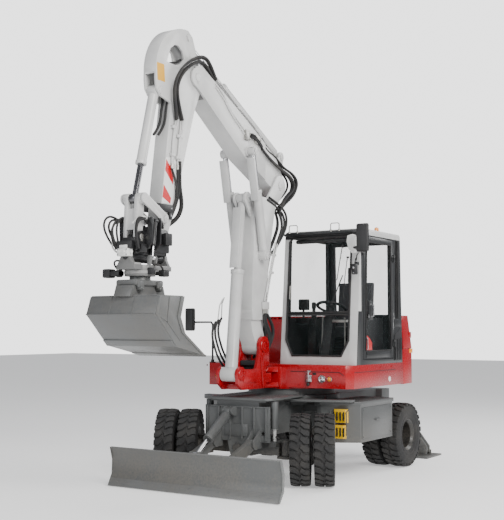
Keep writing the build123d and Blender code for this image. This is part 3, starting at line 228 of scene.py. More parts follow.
lightGrey = (0.58, 0.58, 0.575)
machineRed = (0.36, 0.0012, 0.006)
finishes = {
    "chassis_grey": sprayed("chassisGrey", (0.088, 0.092, 0.092), dirt=0.16, gloss=0.40, dirtTop=0.9),
    "boom_grey": sprayed("boomGrey", lightGrey, dirt=0.12, gloss=0.36, dirtTop=2.5, wear=0.06),
    "body_red": sprayed("bodyRed", machineRed, dirt=0.02, gloss=0.24, wear=0.03),
    "housing_red": sprayed("housingRed", machineRed, dirt=0.02, gloss=0.22, wear=0.03),
    "cab_grey": sprayed("cabGrey", lightGrey, dirt=0.10, gloss=0.34, wear=0.04),
    "door_dark": sprayed("doorDark", (0.016, 0.017, 0.018), dirt=0.04, gloss=0.30, wear=0.05),
    "glass_tint": clearGlass("glassTint", (0.020, 0.030, 0.030), 0.10),
    "rim_black": sprayed("rimBlack", (0.014, 0.0145, 0.015), dirt=0.12, gloss=0.38, dirtTop=1.0),
    "tyre_black": rubberFinish("tyreBlack", (0.010, 0.010, 0.0105), 0.22),
    "axle_cast": sprayed("axleCast", (0.045, 0.046, 0.046), dirt=0.25, gloss=0.5, dirtTop=1.0),
    "chrome_rod": metal("chromeRod", (0.80, 0.80, 0.81), 0.10),
    "barrel_grey": sprayed("barrelGrey", lightGrey, dirt=0.15, gloss=0.34, dirtTop=2.5, wear=0.10),
    "bucket_steel": sprayed("bucketSteel", (0.105, 0.110, 0.112), dirt=0.12, gloss=0.36,
                            dirtTop=5.0, wear=0.25),
    "hitch_grey": sprayed("hitchGrey", (0.15, 0.152, 0.152), dirt=0.15, gloss=0.40, dirtTop=5.0, wear=0.3),
    "hitch_dark": sprayed("hitchDark", (0.012, 0.012, 0.013), dirt=0.1, gloss=0.35, wear=0.1),
    "seat_fabric": wovenCloth("seatFabric", (0.018, 0.018, 0.021)),
    "trim_black": moulded("trimBlack", (0.011, 0.011, 0.012), 0.46),
    "engine_dark": metal("engineDark", (0.06, 0.06, 0.06), 0.55, 0.6),
    "chock_yellow": moulded("chockYellow", (0.74, 0.44, 0.004), 0.42, 190, 0.15, 0.15),
    "lamp_clear": clearGlass("lampClear", (0.85, 0.86, 0.84), 0.55),
}
for entry in frame["record"]["subparts"]:
    skin = cadNodes[entry["node"]].data.materials
    skin.clear()
    skin.append(finishes[entry["material_slot"]])
print("finishes ready:", len(finishes))

# camera, floor and light

cameraSetup = {"place": (11128, 6480, 1821.5), "tilt": 94.0, "heading": 122.5, "lens": 68.15}
bpy.ops.object.camera_add(location=place(*cameraSetup["place"]),
                          rotation=(math.radians(cameraSetup["tilt"]), 0,
                                    math.radians(cameraSetup["heading"])))
camera = bpy.context.object
camera.data.lens = cameraSetup["lens"]
bpy.context.scene.camera = camera

studio = {"floorSize": 90, "floorGlow": 0.42, "ambient": 0.36, "backdrop": 2.6}
bpy.ops.mesh.primitive_plane_add(size=studio["floorSize"], location=(0, 0, 0))
floor = bpy.context.object
floor.name = "studioFloor"
floorPaint = Paint("studioFloor")
floorPaint.into("Base Color",
                floorPaint.mix(floorPaint.noise(0.6, 3), (0.86, 0.86, 0.855), (0.90, 0.90, 0.895)))
floorPaint.into("Roughness", 0.75)
floorPaint.into("Emission Color", (1.0, 1.0, 1.0))
floorPaint.into("Emission Strength", studio["floorGlow"])
floor.data.materials.append(floorPaint.material)

studioLights = {
    "key": ((6, 10, 8), 6.0, 1850, (1.0, 0.985, 0.96)),
    "front": ((12, -2, 5), 5.0, 290, (0.96, 0.98, 1.0)),
    "rim": ((-8, 5, 7), 5.0, 430, (1.0, 1.0, 1.0)),
    "top": ((0, 0, 12), 8.0, 480, (1.0, 1.0, 1.0)),
}
for lightName, (spotXyz, size, power, tint) in studioLights.items():
    bpy.ops.object.light_add(type="AREA", location=spotXyz)
    lamp = bpy.context.object
    lamp.name = "studio" + lightName.capitalize()
    lamp.data.shape = "SQUARE"
    lamp.data.size = size
    lamp.data.energy = power
    lamp.data.color = tint
    lamp.rotation_euler = (Vector((0.3, 0, 1.5)) - Vector(spotXyz)).to_track_quat("-Z", "Y").to_euler()
world = bpy.data.worlds.new("studioWorld")
world.use_nodes = True
backdrop = world.node_tree.nodes["Background"]
backdrop.inputs[0].default_value = (0.93, 0.95, 1.0, 1)
backdrop.inputs[1].default_value = studio["ambient"]
brightBackdrop = world.node_tree.nodes.new("ShaderNodeBackground")
brightBackdrop.inputs[0].default_value = (1, 1, 1, 1)
brightBackdrop.inputs[1].default_value = studio["backdrop"]
rayKind = world.node_tree.nodes.new("ShaderNodeLightPath")
chooser = world.node_tree.nodes.new("ShaderNodeMixShader")
world.node_tree.links.new(rayKind.outputs["Is Camera Ray"], chooser.inputs[0])
world.node_tree.links.new(backdrop.outputs[0], chooser.inputs[1])
world.node_tree.links.new(brightBackdrop.outputs[0], chooser.inputs[2])
world.node_tree.links.new(chooser.outputs[0], world.node_tree.nodes["World Output"].inputs[0])
bpy.context.scene.world = world
print("camera, floor and lights ready")

# modelling tools


def deselectAll():
    if bpy.context.object and bpy.context.object.mode != "OBJECT":
        bpy.ops.object.mode_set(mode="OBJECT")
    bpy.ops.object.select_all(action="DESELECT")


def pickOnly(piece):
    deselectAll()
    piece.select_set(True)
    bpy.context.view_layer.objects.active = piece


def editMesh(piece, *steps):
    # runs each mesh tool in turn on the whole piece
    pickOnly(piece)
    bpy.ops.object.mode_set(mode="EDIT")
    for tool, settings in steps:
        bpy.ops.mesh.select_all(action="SELECT")
        tool(**settings)
    bpy.ops.object.mode_set(mode="OBJECT")
    return piece


def applyModifier(piece, kind, **settings):
    pickOnly(piece)
    modifier = piece.modifiers.new(kind.title(), kind)
    for key, value in settings.items():
        setattr(modifier, key, value)
    bpy.ops.object.modifier_apply(modifier=modifier.name)
    return piece


def fixPlace(piece):
    pickOnly(piece)
    bpy.ops.object.transform_apply(location=True, rotation=True, scale=True)
    return piece


def softEdges(piece, width, steps=2, angle=32):
    applyModifier(piece, "BEVEL", width=width / 1000, segments=steps, limit_method="ANGLE",
                  angle_limit=math.radians(angle), use_clamp_overlap=True)
    return piece


def shadeByAngle(piece, angle=35):
    pickOnly(piece)
    bpy.ops.object.shade_smooth_by_angle(angle=math.radians(angle))
    return piece


def fuse(pieces):
    deselectAll()
    for piece in pieces:
        piece.select_set(True)
    bpy.context.view_layer.objects.active = pieces[0]
    bpy.ops.object.join()
    return pieces[0]


def copyOf(piece, matrix):
    twin = bpy.data.objects.new(piece.name, piece.data.copy())
    bpy.context.scene.collection.objects.link(twin)
    twin.data.transform(matrix)
    if matrix.determinant() < 0:
        twin.data.flip_normals()
    return twin


def finishPiece(piece, name, body, slot, finish=None, smooth=35, stands=()):
    fixPlace(piece)
    piece.name = name
    piece.data.name = name
    if smooth:
        shadeByAngle(piece, smooth)
    piece.data.materials.clear()
    piece.data.materials.append(finish or finishes[slot])
    if body:
        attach(piece, body)
    if stands:
        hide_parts(*stands)
    return piece


facesOut = (bpy.ops.mesh.normals_make_consistent, {"inside": False})


def boxOf(x, y, z):
    bpy.ops.mesh.primitive_cube_add(size=1, location=place(sum(x) / 2, sum(y) / 2, sum(z) / 2))
    piece = bpy.context.object
    piece.scale = Vector((x[1] - x[0], y[1] - y[0], z[1] - z[0])) / 1000
    return fixPlace(piece)


def block(x, y, z, bevel=3, steps=2):
    piece = boxOf(x, y, z)
    return softEdges(piece, bevel, steps) if bevel else piece


def plateOf(points, push, bevel=2, steps=2):
    # a closed outline of points in millimetres, pushed by a vector
    bpy.ops.mesh.primitive_circle_add(vertices=len(points), fill_type="NGON", radius=1)
    piece = bpy.context.object
    for vertex, point in zip(piece.data.vertices, points):
        vertex.co = place(*point)
    editMesh(piece,
             (bpy.ops.mesh.extrude_region_move, {"TRANSFORM_OT_translate": {"value": Vector(push) / 1000}}),
             facesOut)
    return softEdges(piece, bevel, steps) if bevel else piece


def turned(profile, centre, axis, steps=48):
    # spins (radius, along) points round an axis through centre
    bpy.ops.mesh.primitive_circle_add(vertices=len(profile), fill_type="NOTHING", radius=1)
    piece = bpy.context.object
    for vertex, (radius, along) in zip(piece.data.vertices, profile):
        vertex.co = Vector((radius, 0, along)) / 1000
    editMesh(piece,
             (bpy.ops.mesh.spin,
              {"steps": steps, "angle": math.tau, "center": (0, 0, 0), "axis": (0, 0, 1)}),
             (bpy.ops.mesh.remove_doubles, {"threshold": 0.00002}), facesOut)
    turn = Vector(axis).to_track_quat("Z", "X").to_matrix().to_4x4()
    piece.data.transform(Matrix.Translation(place(*centre)) @ turn)
    return piece


def rod(start, end, radius, steps=24, bevel=0.0):
    length = (Vector(end) - Vector(start)).length
    lip = min(bevel, radius * 0.5)
    profile = [(0, 0), (radius - lip, 0), (radius, lip), (radius, length - lip),
               (radius - lip, length), (0, length)]
    if not lip:
        profile = [(0, 0), (radius, 0), (radius, length), (0, length)]
    return turned(profile, start, Vector(end) - Vector(start), steps)


def bolt(centre, axis, size, tall):
    # a hexagon head on its washer
    head = turned([(0, 0), (size, 0), (size, tall), (size * 0.82, tall * 1.25), (0, tall * 1.25)],
                  centre, axis, 6)
    washer = turned([(0, 0), (size * 1.35, 0), (size * 1.35, tall * 0.3), (0, tall * 0.3)],
                    centre, axis, 16)
    return fuse([head, washer])


def drawCurve(points, kind, radius=0.0, steps=12, closed=False):
    # a round section along millimetre points; with no radius it stays a line
    curve = bpy.data.curves.new("hose", "CURVE")
    curve.dimensions = "3D"
    line = curve.splines.new(kind)
    line.points.add(len(points) - 1)
    for spot, point in zip(line.points, points):
        spot.co = (*place(*point), 1)
    line.use_cyclic_u = closed
    if kind == "NURBS":
        line.order_u = 3 if len(points) < 4 else 4
        line.use_endpoint_u = True
    curve.resolution_u = steps
    curve.bevel_depth = radius / 1000
    curve.bevel_resolution = 3
    curve.use_fill_caps = not closed
    piece = bpy.data.objects.new("hose", curve)
    bpy.context.scene.collection.objects.link(piece)
    pickOnly(piece)
    bpy.ops.object.convert(target="MESH")
    return bpy.context.object


def hose(points, radius):
    # a bent tube on a smooth curve
    return drawCurve(points, "NURBS", radius)


def beading(points, radius, closed=False):
    # straight runs, such as a seal or bent bar
    return drawCurve(points, "POLY", radius, closed=closed)


def softenNode(node, bevel):
    # a merged copy of a CAD piece with broken edges stands for it
    source = cadNodes[node]
    piece = bpy.data.objects.new(node + "Soft", source.data.copy())
    bpy.context.scene.collection.objects.link(piece)
    editMesh(piece, (bpy.ops.mesh.remove_doubles, {"threshold": 0.00005}),
             (bpy.ops.mesh.dissolve_limited, {"angle_limit": math.radians(0.6)}))
    if piece.data.has_custom_normals:
        bpy.ops.mesh.customdata_custom_splitnormals_clear()
    softEdges(piece, bevel, angle=28)
    slot = next(s["material_slot"] for s in frame["record"]["subparts"] if s["node"] == node)
    body = next(b for b, members in frame["record"]["behaviour"]["bodies"].items() if node in members)
    return finishPiece(piece, node + "Soft", body, slot, stands=[node])


# wheels

tyreSize = {"radius": 420, "half": 117.5, "blocks": 28, "blockDepth": 24, "gapHalf": 22.5, "centre": 892}


def makeTyre():
    half = tyreSize["half"]
    outer = [(200, -96), (206, -106), (216, -111), (226, -110), (232, -114), (262, -117),
             (268, -114.5), (274, -117.3), (318, -117.5), (348, -115.5), (374, -111), (392, -102),
             (398, -92)]
    profile = outer + [(401, -50), (402, 0), (401, 50)] + [(r, -y) for r, y in reversed(outer)]
    profile += [(192, 90), (192, -90)]
    carcass = turned(profile, (wheelbaseShift, 0, 0), (0, 1, 0), 84)
    outline = [(-33, -115.5), (31, -115.5), (42, -66), (70, -16), (16, -4), (-8, -34), (-30, -50)]
    bpy.ops.mesh.primitive_circle_add(vertices=len(outline), fill_type="NGON", radius=1)
    lug = bpy.context.object
    for vertex, (along, across) in zip(lug.data.vertices, outline):
        vertex.co = Vector((along, across, 0)) / 1000
    bpy.ops.object.mode_set(mode="EDIT")
    bpy.ops.mesh.select_all(action="SELECT")
    depth = tyreSize["blockDepth"] / 1000
    bpy.ops.mesh.extrude_region_move(TRANSFORM_OT_translate={"value": (0, 0, depth)})
    bpy.ops.transform.resize(value=(0.93, 0.97, 1))
    bpy.ops.mesh.select_all(action="SELECT")
    bpy.ops.mesh.normals_make_consistent(inside=False)
    bpy.ops.object.mode_set(mode="OBJECT")
    softEdges(lug, 3.0, 1)
    base = (tyreSize["radius"] - tyreSize["blockDepth"] - 0.6) / 1000
    for vertex in lug.data.vertices:
        along, across, up = vertex.co
        drop = max(0, abs(across) - 0.088) * 0.42
        angle = along / 0.42
        radius = base + up - drop
        vertex.co = (radius * math.sin(angle), across, radius * math.cos(angle))
    pieces = [carcass]
    count = tyreSize["blocks"]
    for row in range(2):
        for step in range(count):
            spin = Matrix.Rotation(math.tau * (step + 0.5 * row) / count, 4, "Y")
            flip = Matrix.Rotation(math.pi * row, 4, "Z")
            pieces.append(copyOf(lug, spin @ flip))
    bpy.data.objects.remove(lug)
    return fuse(pieces)


def makeRim():
    # one rim: bead flanges and well; the disc and wheel nuts come from makeHub
    band = [(200, -100), (214, -104), (216, -98), (206, -94), (199.6, -92), (197, -70), (176, -52),
            (176, 40), (197, 62), (199.6, 92), (206, 94), (216, 98), (214, 104), (200, 100), (190, 88),
            (168, 60), (168, -60), (190, -88)]
    return turned(band, (wheelbaseShift, 0, 0), (0, 1, 0), 72)


def wheelMatrix(front, side):
    # from a wheel at the origin, axis Y, to its hub
    centre = place(axleX if front else -axleX, 0, 420)
    move = Matrix.Translation(centre)
    if not front:
        return move
    pivot = place(axleX, side * 590, 0)
    turn = Matrix.Rotation(wheelTurn, 4, "Z")
    return Matrix.Translation(pivot) @ turn @ Matrix.Translation(-pivot) @ move


oneTyre = makeTyre()
oneRim = makeRim()
hubSize = {"nuts": 10, "nutCircle": 128}


def makeHub():
    # disc, hub drum, cover and nuts on the outer wheel; along +Y is outwards
    outward = tyreSize["centre"]
    disc = turned([(176, -26), (170, -14), (150, -8), (112, -8), (112, 14), (150, 14),
                   (174, 6), (180, -10)],
                  (wheelbaseShift, outward, 0), (0, 1, 0), 60)
    innerDisc = turned([(174, -150), (112, -128), (112, -112), (176, -136)],
                       (wheelbaseShift, outward, 0), (0, 1, 0), 48)
    drum = turned([(78.4, -240), (112, -240), (114, -20), (112, 50), (100, 64), (60, 70), (56, 78), (0, 78),
                   (0, -88), (78.4, -88)],
                  (wheelbaseShift, outward, 0), (0, 1, 0), 60)
    parts = [disc, innerDisc, drum]
    for step in range(hubSize["nuts"]):
        angle = math.tau * step / hubSize["nuts"]
        spot = (wheelbaseShift + hubSize["nutCircle"] * math.cos(angle), outward + 14,
                hubSize["nutCircle"] * math.sin(angle))
        parts.append(turned([(0, 0), (12, 0), (12, 12), (8, 16), (8, 24), (0, 24)], spot, (0, 1, 0), 6))
    for step in range(6):
        angle = math.tau * (step + 0.5) / 6
        spot = (wheelbaseShift + 80 * math.cos(angle), outward + 64, 80 * math.sin(angle))
        parts.append(turned([(0, 0), (7, 0), (7, 6), (0, 6)], spot, (0, 1, 0), 6))
    return fuse(parts)


oneHub = makeHub()
flipSide = Matrix.Scale(-1, 4, Vector((0, 1, 0)))
for front, end in ((True, "front"), (False, "rear")):
    for side, name in ((1, "left"), (-1, "right")):
        matrix = wheelMatrix(front, side)
        mirror = Matrix.Identity(4) if side > 0 else flipSide
        apart = tyreSize["half"] + tyreSize["gapHalf"]
        spots = [Matrix.Translation((0, (tyreSize["centre"] + offset) / 1000, 0))
                 for offset in (-apart, apart)]
        tyres = fuse([copyOf(oneTyre, matrix @ mirror @ spot) for spot in spots])
        finishPiece(tyres, f"tyrePair_{end}_{name}", f"wheels_{end}_{name}", "tyre_black",
                    stands=[f"tyres_{end}_{name}"])
        rims = fuse([copyOf(oneRim, matrix @ mirror @ spot) for spot in spots]
                    + [copyOf(oneHub, matrix @ mirror)])
        finishPiece(rims, f"rimPair_{end}_{name}", f"wheels_{end}_{name}", "rim_black",
                    stands=[f"rims_{end}_{name}"])
for spare in (oneTyre, oneRim, oneHub):
    bpy.data.objects.remove(spare)
print("wheels ready")

# rounded copies of the rigid solids

def paintFaces(piece, finish, test):
    # gives the faces that pass the test another finish; the test gets x, y, z in millimetres and the normal
    piece.data.materials.append(finish)
    index = len(piece.data.materials) - 1
    for face in piece.data.polygons:
        centre = face.center * 1000
        if test(centre.x + wheelbaseShift, centre.y, centre.z, face.normal):
            face.material_index = index
    return piece


edgeWidths = {
    "chassis_frame": 3, "front_axle": 5, "rear_axle": 5, "axle_locks": 1.5, "knuckle_left": 4,
    "knuckle_right": 4, "side_boxes": 6, "wheel_chocks": 4, "blade": 2.5, "blade_barrel": 1.5,
    "blade_rod": 1, "stabilizer_left": 3, "stabilizer_right": 3, "stabilizer_barrel_left": 1.5,
    "stabilizer_barrel_right": 1.5, "stabilizer_rod_left": 1, "stabilizer_rod_right": 1, "platform": 6,
    "counterweight": 14, "engine_block": 4, "engine_hood": 9, "right_housing": 7, "cab_shell": 4,
    "cab_door": 4, "console": 4, "swing_post": 8, "lift_barrel": 2, "lift_rod": 1, "lower_boom": 5,
    "adjust_barrels": 2, "adjust_rods": 1, "upper_boom": 5, "arm_barrel": 2, "arm_rod": 1, "arm": 4,
    "bucket_barrel": 2, "bucket_rod": 1, "rocker": 3, "bucket_link": 3, "tilt_hitch": 3,
    "tilt_frame": 3, "bucket": 3, "tilt_barrel_left": 1.5, "tilt_barrel_right": 1.5, "tilt_rod_left": 1,
    "tilt_rod_right": 1,
}
soft = {node: softenNode(node, width) for node, width in edgeWidths.items()}
print("rounded solids ready:", len(soft))

cabPlan = {"sill": 1380, "roof": 3064, "frontLow": 381, "frontTop": 242, "rearLow": -974, "rearTop": -930,
           "right": 58, "left": 1130, "barLow": 1984, "barHigh": 2036, "screenRight": 136,
           "screenLeft": 1012, "barRight": 130, "barLeft": 1018, "beamLow": 2962, "beamHigh": 3046,
           "capLow": 2990, "rightPost": 240, "skin": 12}


def cabSlant(end, z):
    share = (z - cabPlan["sill"]) / (cabPlan["roof"] - cabPlan["sill"])
    return cabPlan[end + "Low"] + (cabPlan[end + "Top"] - cabPlan[end + "Low"]) * share


def cabFront(z):
    return cabSlant("front", z)


def cabRear(z):
    return cabSlant("rear", z)


def cabOutside(x, y, z, normal):
    skin = cabPlan["skin"]
    return (x > cabFront(z) - skin or x < cabRear(z) + skin or y > cabPlan["left"] - skin
            or y < cabPlan["right"] + skin or z > cabPlan["roof"] - skin or z < cabPlan["sill"] + skin / 2)


def cabDark(x, y, z, normal):
    if not cabOutside(x, y, z, normal):
        return False
    front = x > cabFront(z) - cabPlan["skin"]
    belowCap = z < cabPlan["capLow"]
    acrossBar = cabPlan["barRight"] < y < cabPlan["barLeft"]
    screenBar = front and cabPlan["barLow"] < z < cabPlan["barHigh"] and acrossBar
    topBeam = front and cabPlan["beamLow"] < z < cabPlan["beamHigh"]
    leftSide = y > 1060 and x < cabFront(z) - 40 and belowCap
    rearSide = (x < cabRear(z) + cabPlan["skin"] or x < -850) and belowCap
    rightSide = y < cabPlan["right"] + cabPlan["skin"] and x < 150 and belowCap
    return screenBar or topBeam or leftSide or rearSide or rightSide


# the shell is cut along the borders of its colours
cabCuts = [((0, 0, cabPlan[level]), (0, 0, 1))
           for level in ("capLow", "barLow", "barHigh", "beamLow", "beamHigh")]
cabCuts += [((0, cabPlan[edge], 0), (0, 1, 0)) for edge in ("barRight", "barLeft")]
cabCuts.append(((cabPlan["rightPost"], 0, 0), (1, 0, 0)))
for spot, direction in cabCuts:
    editMesh(soft["cab_shell"], (bpy.ops.mesh.bisect, {"plane_co": place(*spot), "plane_no": direction}))
paintFaces(soft["cab_shell"], finishes["door_dark"], cabDark)
paintFaces(soft["cab_shell"], finishes["trim_black"],
           lambda x, y, z, normal: not cabOutside(x, y, z, normal))
paintFaces(soft["console"], finishes["chassis_grey"], lambda x, y, z, normal: z < 1500)
paintFaces(soft["adjust_barrels"], finishes["door_dark"], lambda x, y, z, normal: z > 3478 and abs(y) < 235)
paintFaces(soft["axle_locks"], finishes["chassis_grey"], lambda x, y, z, normal: z > 700)
paintFaces(soft["bucket_rod"], metal("rodDark", (0.20, 0.20, 0.21), 0.22), lambda x, y, z, normal: True)


def farFromRod(base, eye, y, radius):
    # true for the guard plates of a ram rod, false for the bright rod itself
    start, run = Vector((base[0], base[1])), (Vector(eye) - Vector(base)).normalized()

    def test(px, py, pz, normal):
        offset = Vector((px, pz)) - start
        across = offset - run * offset.dot(run)
        return math.hypot(across.length, abs(py) - y if y else py) > radius
    return test


paintFaces(soft["adjust_rods"], finishes["boom_grey"], farFromRod((998, 2708), (1255, 3950), 200, 33))
paintFaces(soft["lift_rod"], finishes["boom_grey"], farFromRod((1420, 1285), (1180, 3400), 0, 42))


def group(pieces, name, body, slot, finish=None, stands=()):
    return finishPiece(fuse(pieces), name, body, slot, finish, stands=stands)


blackRubber = rubberFinish("sealRubber", (0.012, 0.012, 0.013), 0.15)
hoseRubber = rubberFinish("hoseRubber", (0.013, 0.013, 0.014), 0.25)
brightSteel = metal("brightSteel", (0.62, 0.62, 0.63), 0.24)
zincSteel = metal("zincSteel", (0.52, 0.51, 0.48), 0.38)
amberLens = clearGlass("amberLens", (0.95, 0.30, 0.01), 0.86)
redLens = clearGlass("redLens", (0.55, 0.01, 0.01), 0.86)
whiteBlock = moulded("whiteBlock", (0.72, 0.72, 0.70), 0.35, 200, 0.1)
# dark moulded finish for grilles, screens and linings, also used as painted shadow inside the swing post
darkMeshAndShadow = moulded("darkMeshAndShadow", (0.012, 0.012, 0.013), 0.6)
mirrorGlass = metal("mirrorGlass", (0.75, 0.77, 0.78), 0.05)
yellowPlate = moulded("yellowPlate", (0.66, 0.33, 0.0), 0.38, 150, 0.1, 0.05)
signalRed = moulded("signalRed", (0.52, 0.004, 0.008), 0.32, 150, 0.1, 0.1)
signalWhite = moulded("signalWhite", (0.76, 0.76, 0.75), 0.32, 150, 0.1, 0.1)

# cab: screen seal, roof beam, wiper, lamp housing, seat and controls


def onScreen(y, z, proud=4):
    return (cabFront(z) + proud, y, z)


right, left = cabPlan["screenRight"], cabPlan["screenLeft"]
sealPath = [onScreen(y, z) for y, z in (
    (right + 95, 1490), (left - 95, 1490), (left, 1680), (left, 2930), (left - 39, 2969),
    (right + 39, 2969), (right, 2930), (right, 1680))]
group([beading(sealPath, 14, True), beading([onScreen(right, 1994), onScreen(left, 1994)], 12),
       beading([onScreen(right, 2026), onScreen(left, 2026)], 12)], "screenSeal", "upper",
       "trim_black", blackRubber)

beamTop = [block((210, 262), (120, 1040), (2984, 3040), 12, 3),
           block((150, 232), (200, 960), (2905, 2950), 14, 3)]
group(beamTop, "roofBeam", "upper", "trim_black")
loops = []
for centreY in (170, 770):
    for side in (-1, 1):
        loops.append(rod((236, centreY + side * 60, 3040), (236, centreY + side * 60, 3066), 14, 16))
    loops.append(beading([(236, centreY - 60, 3050), (236, centreY - 60, 3128), (240, centreY - 46, 3142),
                          (240, centreY + 46, 3142), (236, centreY + 60, 3128),
                          (236, centreY + 60, 3050)], 7))
group(loops, "lampLoops", "upper", "trim_black", zincSteel)

wiper = [rod(onScreen(905, 2840, 8), onScreen(905, 2840, 46), 17, 20, 3),
         beading([onScreen(905, 2840, 38), onScreen(872, 2640, 34), onScreen(838, 2420, 26)], 6),
         beading([onScreen(912, 2480, 18), onScreen(764, 2120, 14)], 7),
         rod(onScreen(978, 2700, 8), onScreen(978, 2700, 40), 13, 16, 2),
         beading([onScreen(978, 2700, 34), onScreen(946, 2420, 30), onScreen(930, 2190, 22)], 5)]
group(wiper, "wiper", "upper", "trim_black")

ear = plateOf([(330, 1020, 2960), (330, 1100, 2978), (330, 1136, 2940), (330, 1142, 2850),
               (330, 1120, 2748), (330, 1082, 2738), (330, 1036, 2800), (330, 1012, 2880)],
              (74, 0, 0), 14, 3)
group([ear, bolt((404, 1050, 2920), (1, 0, 0), 7, 5), bolt((404, 1086, 2790), (1, 0, 0), 7, 5)],
      "lampHousing", "upper", "cab_grey", whiteBlock)
group([block((352, 420), (1090, 1144), (2480, 2610), 10, 3),
       rod((420, 1117, 2560), (428, 1117, 2560), 19, 24, 2),
       block((300, 360), (1096, 1138), (2600, 2640), 5)], "pillarBox", "upper", "trim_black")
group([rod((426, 1117, 2560), (431, 1117, 2560), 14, 24, 2), bolt((424, 1117, 2500), (1, 0, 0), 6, 4)],
      "pillarLens", "upper", "lamp_clear", brightSteel)
group([beading([(358, 1116, 2680), (390, 1126, 2650), (392, 1128, 2628), (380, 1118, 2608)], 6),
       beading([(300, 1122, 2742), (352, 1130, 2716), (366, 1128, 2650)], 7)], "pillarWires", "upper",
       "trim_black", hoseRubber)
grab = [beading([onScreen(172, 2360, 4), onScreen(180, 2360, 40), onScreen(184, 2200, 44),
                 onScreen(172, 2190, 4)], 8)]
group(grab, "screenGrab", "upper", "trim_black", zincSteel)


def cushion(x, y, z, crown, channels, rounding=42, lean=0.0):
    # a crowned pad with sewn channels across it
    pad = boxOf(x, y, z)
    editMesh(pad, (bpy.ops.mesh.subdivide, {"number_cuts": 13}))
    applyModifier(pad, "BEVEL", width=rounding / 1000, segments=5, limit_method="ANGLE",
                  angle_limit=math.radians(60))
    applyModifier(pad, "SUBSURF", levels=1, render_levels=1)
    middle = place(sum(x) / 2, sum(y) / 2, sum(z) / 2)
    half = Vector((x[1] - x[0], y[1] - y[0], z[1] - z[0])) / 2000
    thin = min(range(3), key=lambda i: half[i])
    wide = [i for i in range(3) if i != thin]
    for vertex in pad.data.vertices:
        share = [(vertex.co[i] - middle[i]) / half[i] for i in range(3)]
        swell = max(0, 1 - share[wide[0]] ** 2) * max(0, 1 - share[wide[1]] ** 2)
        seam = sum(math.exp(-((share[channels[0]] - spot) / 0.035) ** 2) for spot in channels[1])
        vertex.co[thin] += share[thin] * (crown * swell - 7 * min(seam, 1)) / 1000
        for axis in wide:
            vertex.co[axis] += share[axis] * 0.006 * max(0, 1 - share[thin] ** 2)
        vertex.co.x -= lean * (vertex.co.z - middle.z)
    return pad


def padPiece(pad, name, stands=()):
    finishPiece(pad, name, "upper", "seat_fabric", None, 60, stands)
    return pad


padPiece(cushion((-684, -176), (372, 856), (1716, 1846), 8, (1, (-0.55, 0.55)), 40),
         "seatCushion", ["seat"])
padPiece(cushion((-706, -586), (382, 846), (1838, 2424), 8, (1, (-0.55, 0.55)), 42, 0.10), "seatBack")
padPiece(cushion((-728, -658), (492, 736), (2436, 2634), 6, (1, ()), 30, 0.04), "seatHead")
seatFrame = [block((-636, -264), (428, 800), (1426.5, 1520), 8),
             block((-600, -300), (450, 778), (1640, 1704), 8)]
for level in range(6):
    fold = 8 * (level % 2)
    seatFrame.append(block((-600 + fold, -300 - fold), (452 + fold, 776 - fold),
                           (1520 + 20 * level, 1540 + 20 * level), 6))
for y in (340, 868):
    seatFrame.append(block((-640, -330), (y - 26, y + 26), (1990, 2034), 16, 3))
    seatFrame.append(beading([(-640, y, 2010), (-700, y, 1960), (-706, y, 1860)], 13))
group(seatFrame, "seatFrame", "upper", "trim_black")
controls = []
for y in (269, 959):
    controls.append(rod((-120, y, 1960), (-120, y, 1990), 36, 24, 6))
    controls.append(block((-148, -92), (y - 24, y + 24), (2080, 2168), 16, 3))
    controls.append(block((-330, -190), (y - 44, y + 44), (1956, 1976), 6))
bpy.ops.mesh.primitive_torus_add(major_radius=0.186, minor_radius=0.0145, major_segments=64,
                                 minor_segments=14, location=place(40, 614, 2092),
                                 rotation=(0, math.radians(-22), 0))
controls.append(bpy.context.object)
controls.append(rod((52, 614, 2060), (66, 614, 2110), 40, 24, 6))
controls.append(block((96, 152), (190, 330), (2060, 2200), 12, 3))
controls.append(rod((120, 250, 1960), (120, 250, 2064), 14, 16))
controls.append(block((60, 170), (160, 360), (1880, 1962), 14, 3))
for y in (540, 690):
    controls.append(block((180, 300), (y - 40, y + 40), (1470, 1486), 5))
    controls.append(rod((200, y, 1486), (240, y, 1640), 10, 12))
group(controls, "cabControls", "upper", "trim_black")
group([rod((100, 500, 1440), (60, 500, 1980), 11, 16), rod((196, 880, 1440), (196, 880, 1960), 9, 16),
       block((60, 200), (700, 940), (1900, 1940), 10)], "cabRails", "upper", "chrome_rod", zincSteel)
group([block((95, 96.5), (204, 316), (2076, 2184), 0)], "monitorGlass", "upper", "glass_tint", darkMeshAndShadow)
group([block((-900, 340), (110, 1080), (1427, 1434), 3)], "floorMat", "upper", "trim_black", blackRubber)
group([block((-880, 180), (110, 1078), (3000, 3016), 4)], "headLining", "upper", "trim_black", darkMeshAndShadow)

# door furniture and the panel behind the door
group([beading([(-618, 1134, 1552), (128, 1134, 1552), (84, 1134, 2903), (-618, 1134, 2903)], 9, True)],
      "doorSeal", "door", "trim_black", blackRubber)
group([block((60, 74), (1132, 1152), (1960, 2000), 4),
       beading([(-30, 1134, 2130), (-30, 1168, 2120), (-30, 1168, 1980), (-30, 1134, 1970)], 9),
       beading([(96, 1128, 1560), (100, 1150, 1580), (110, 1150, 1700), (104, 1128, 1720)], 7)],
      "doorHandle", "door", "door_dark", brightSteel)
group([block((-60, 40), (1131, 1138), (1930, 2170), 8, 2),
       block((-560, 110), (1131, 1137), (1462, 1540), 6)],
      "doorPlate", "door", "door_dark")
group([plateOf([(-40, 1133, 1560), (110, 1133, 1560), (102, 1133, 1740), (20, 1133, 1700),
                (-36, 1133, 1650)], (0, 5, 0), 2)],
      "doorPatch", "door", "door_dark", signalRed)
vents = [plateOf([(-948, 1130, 1410), (-716, 1130, 1410), (-716, 1130, 1744),
                  (-940, 1130, 1840)], (0, 7, 0), 3)]
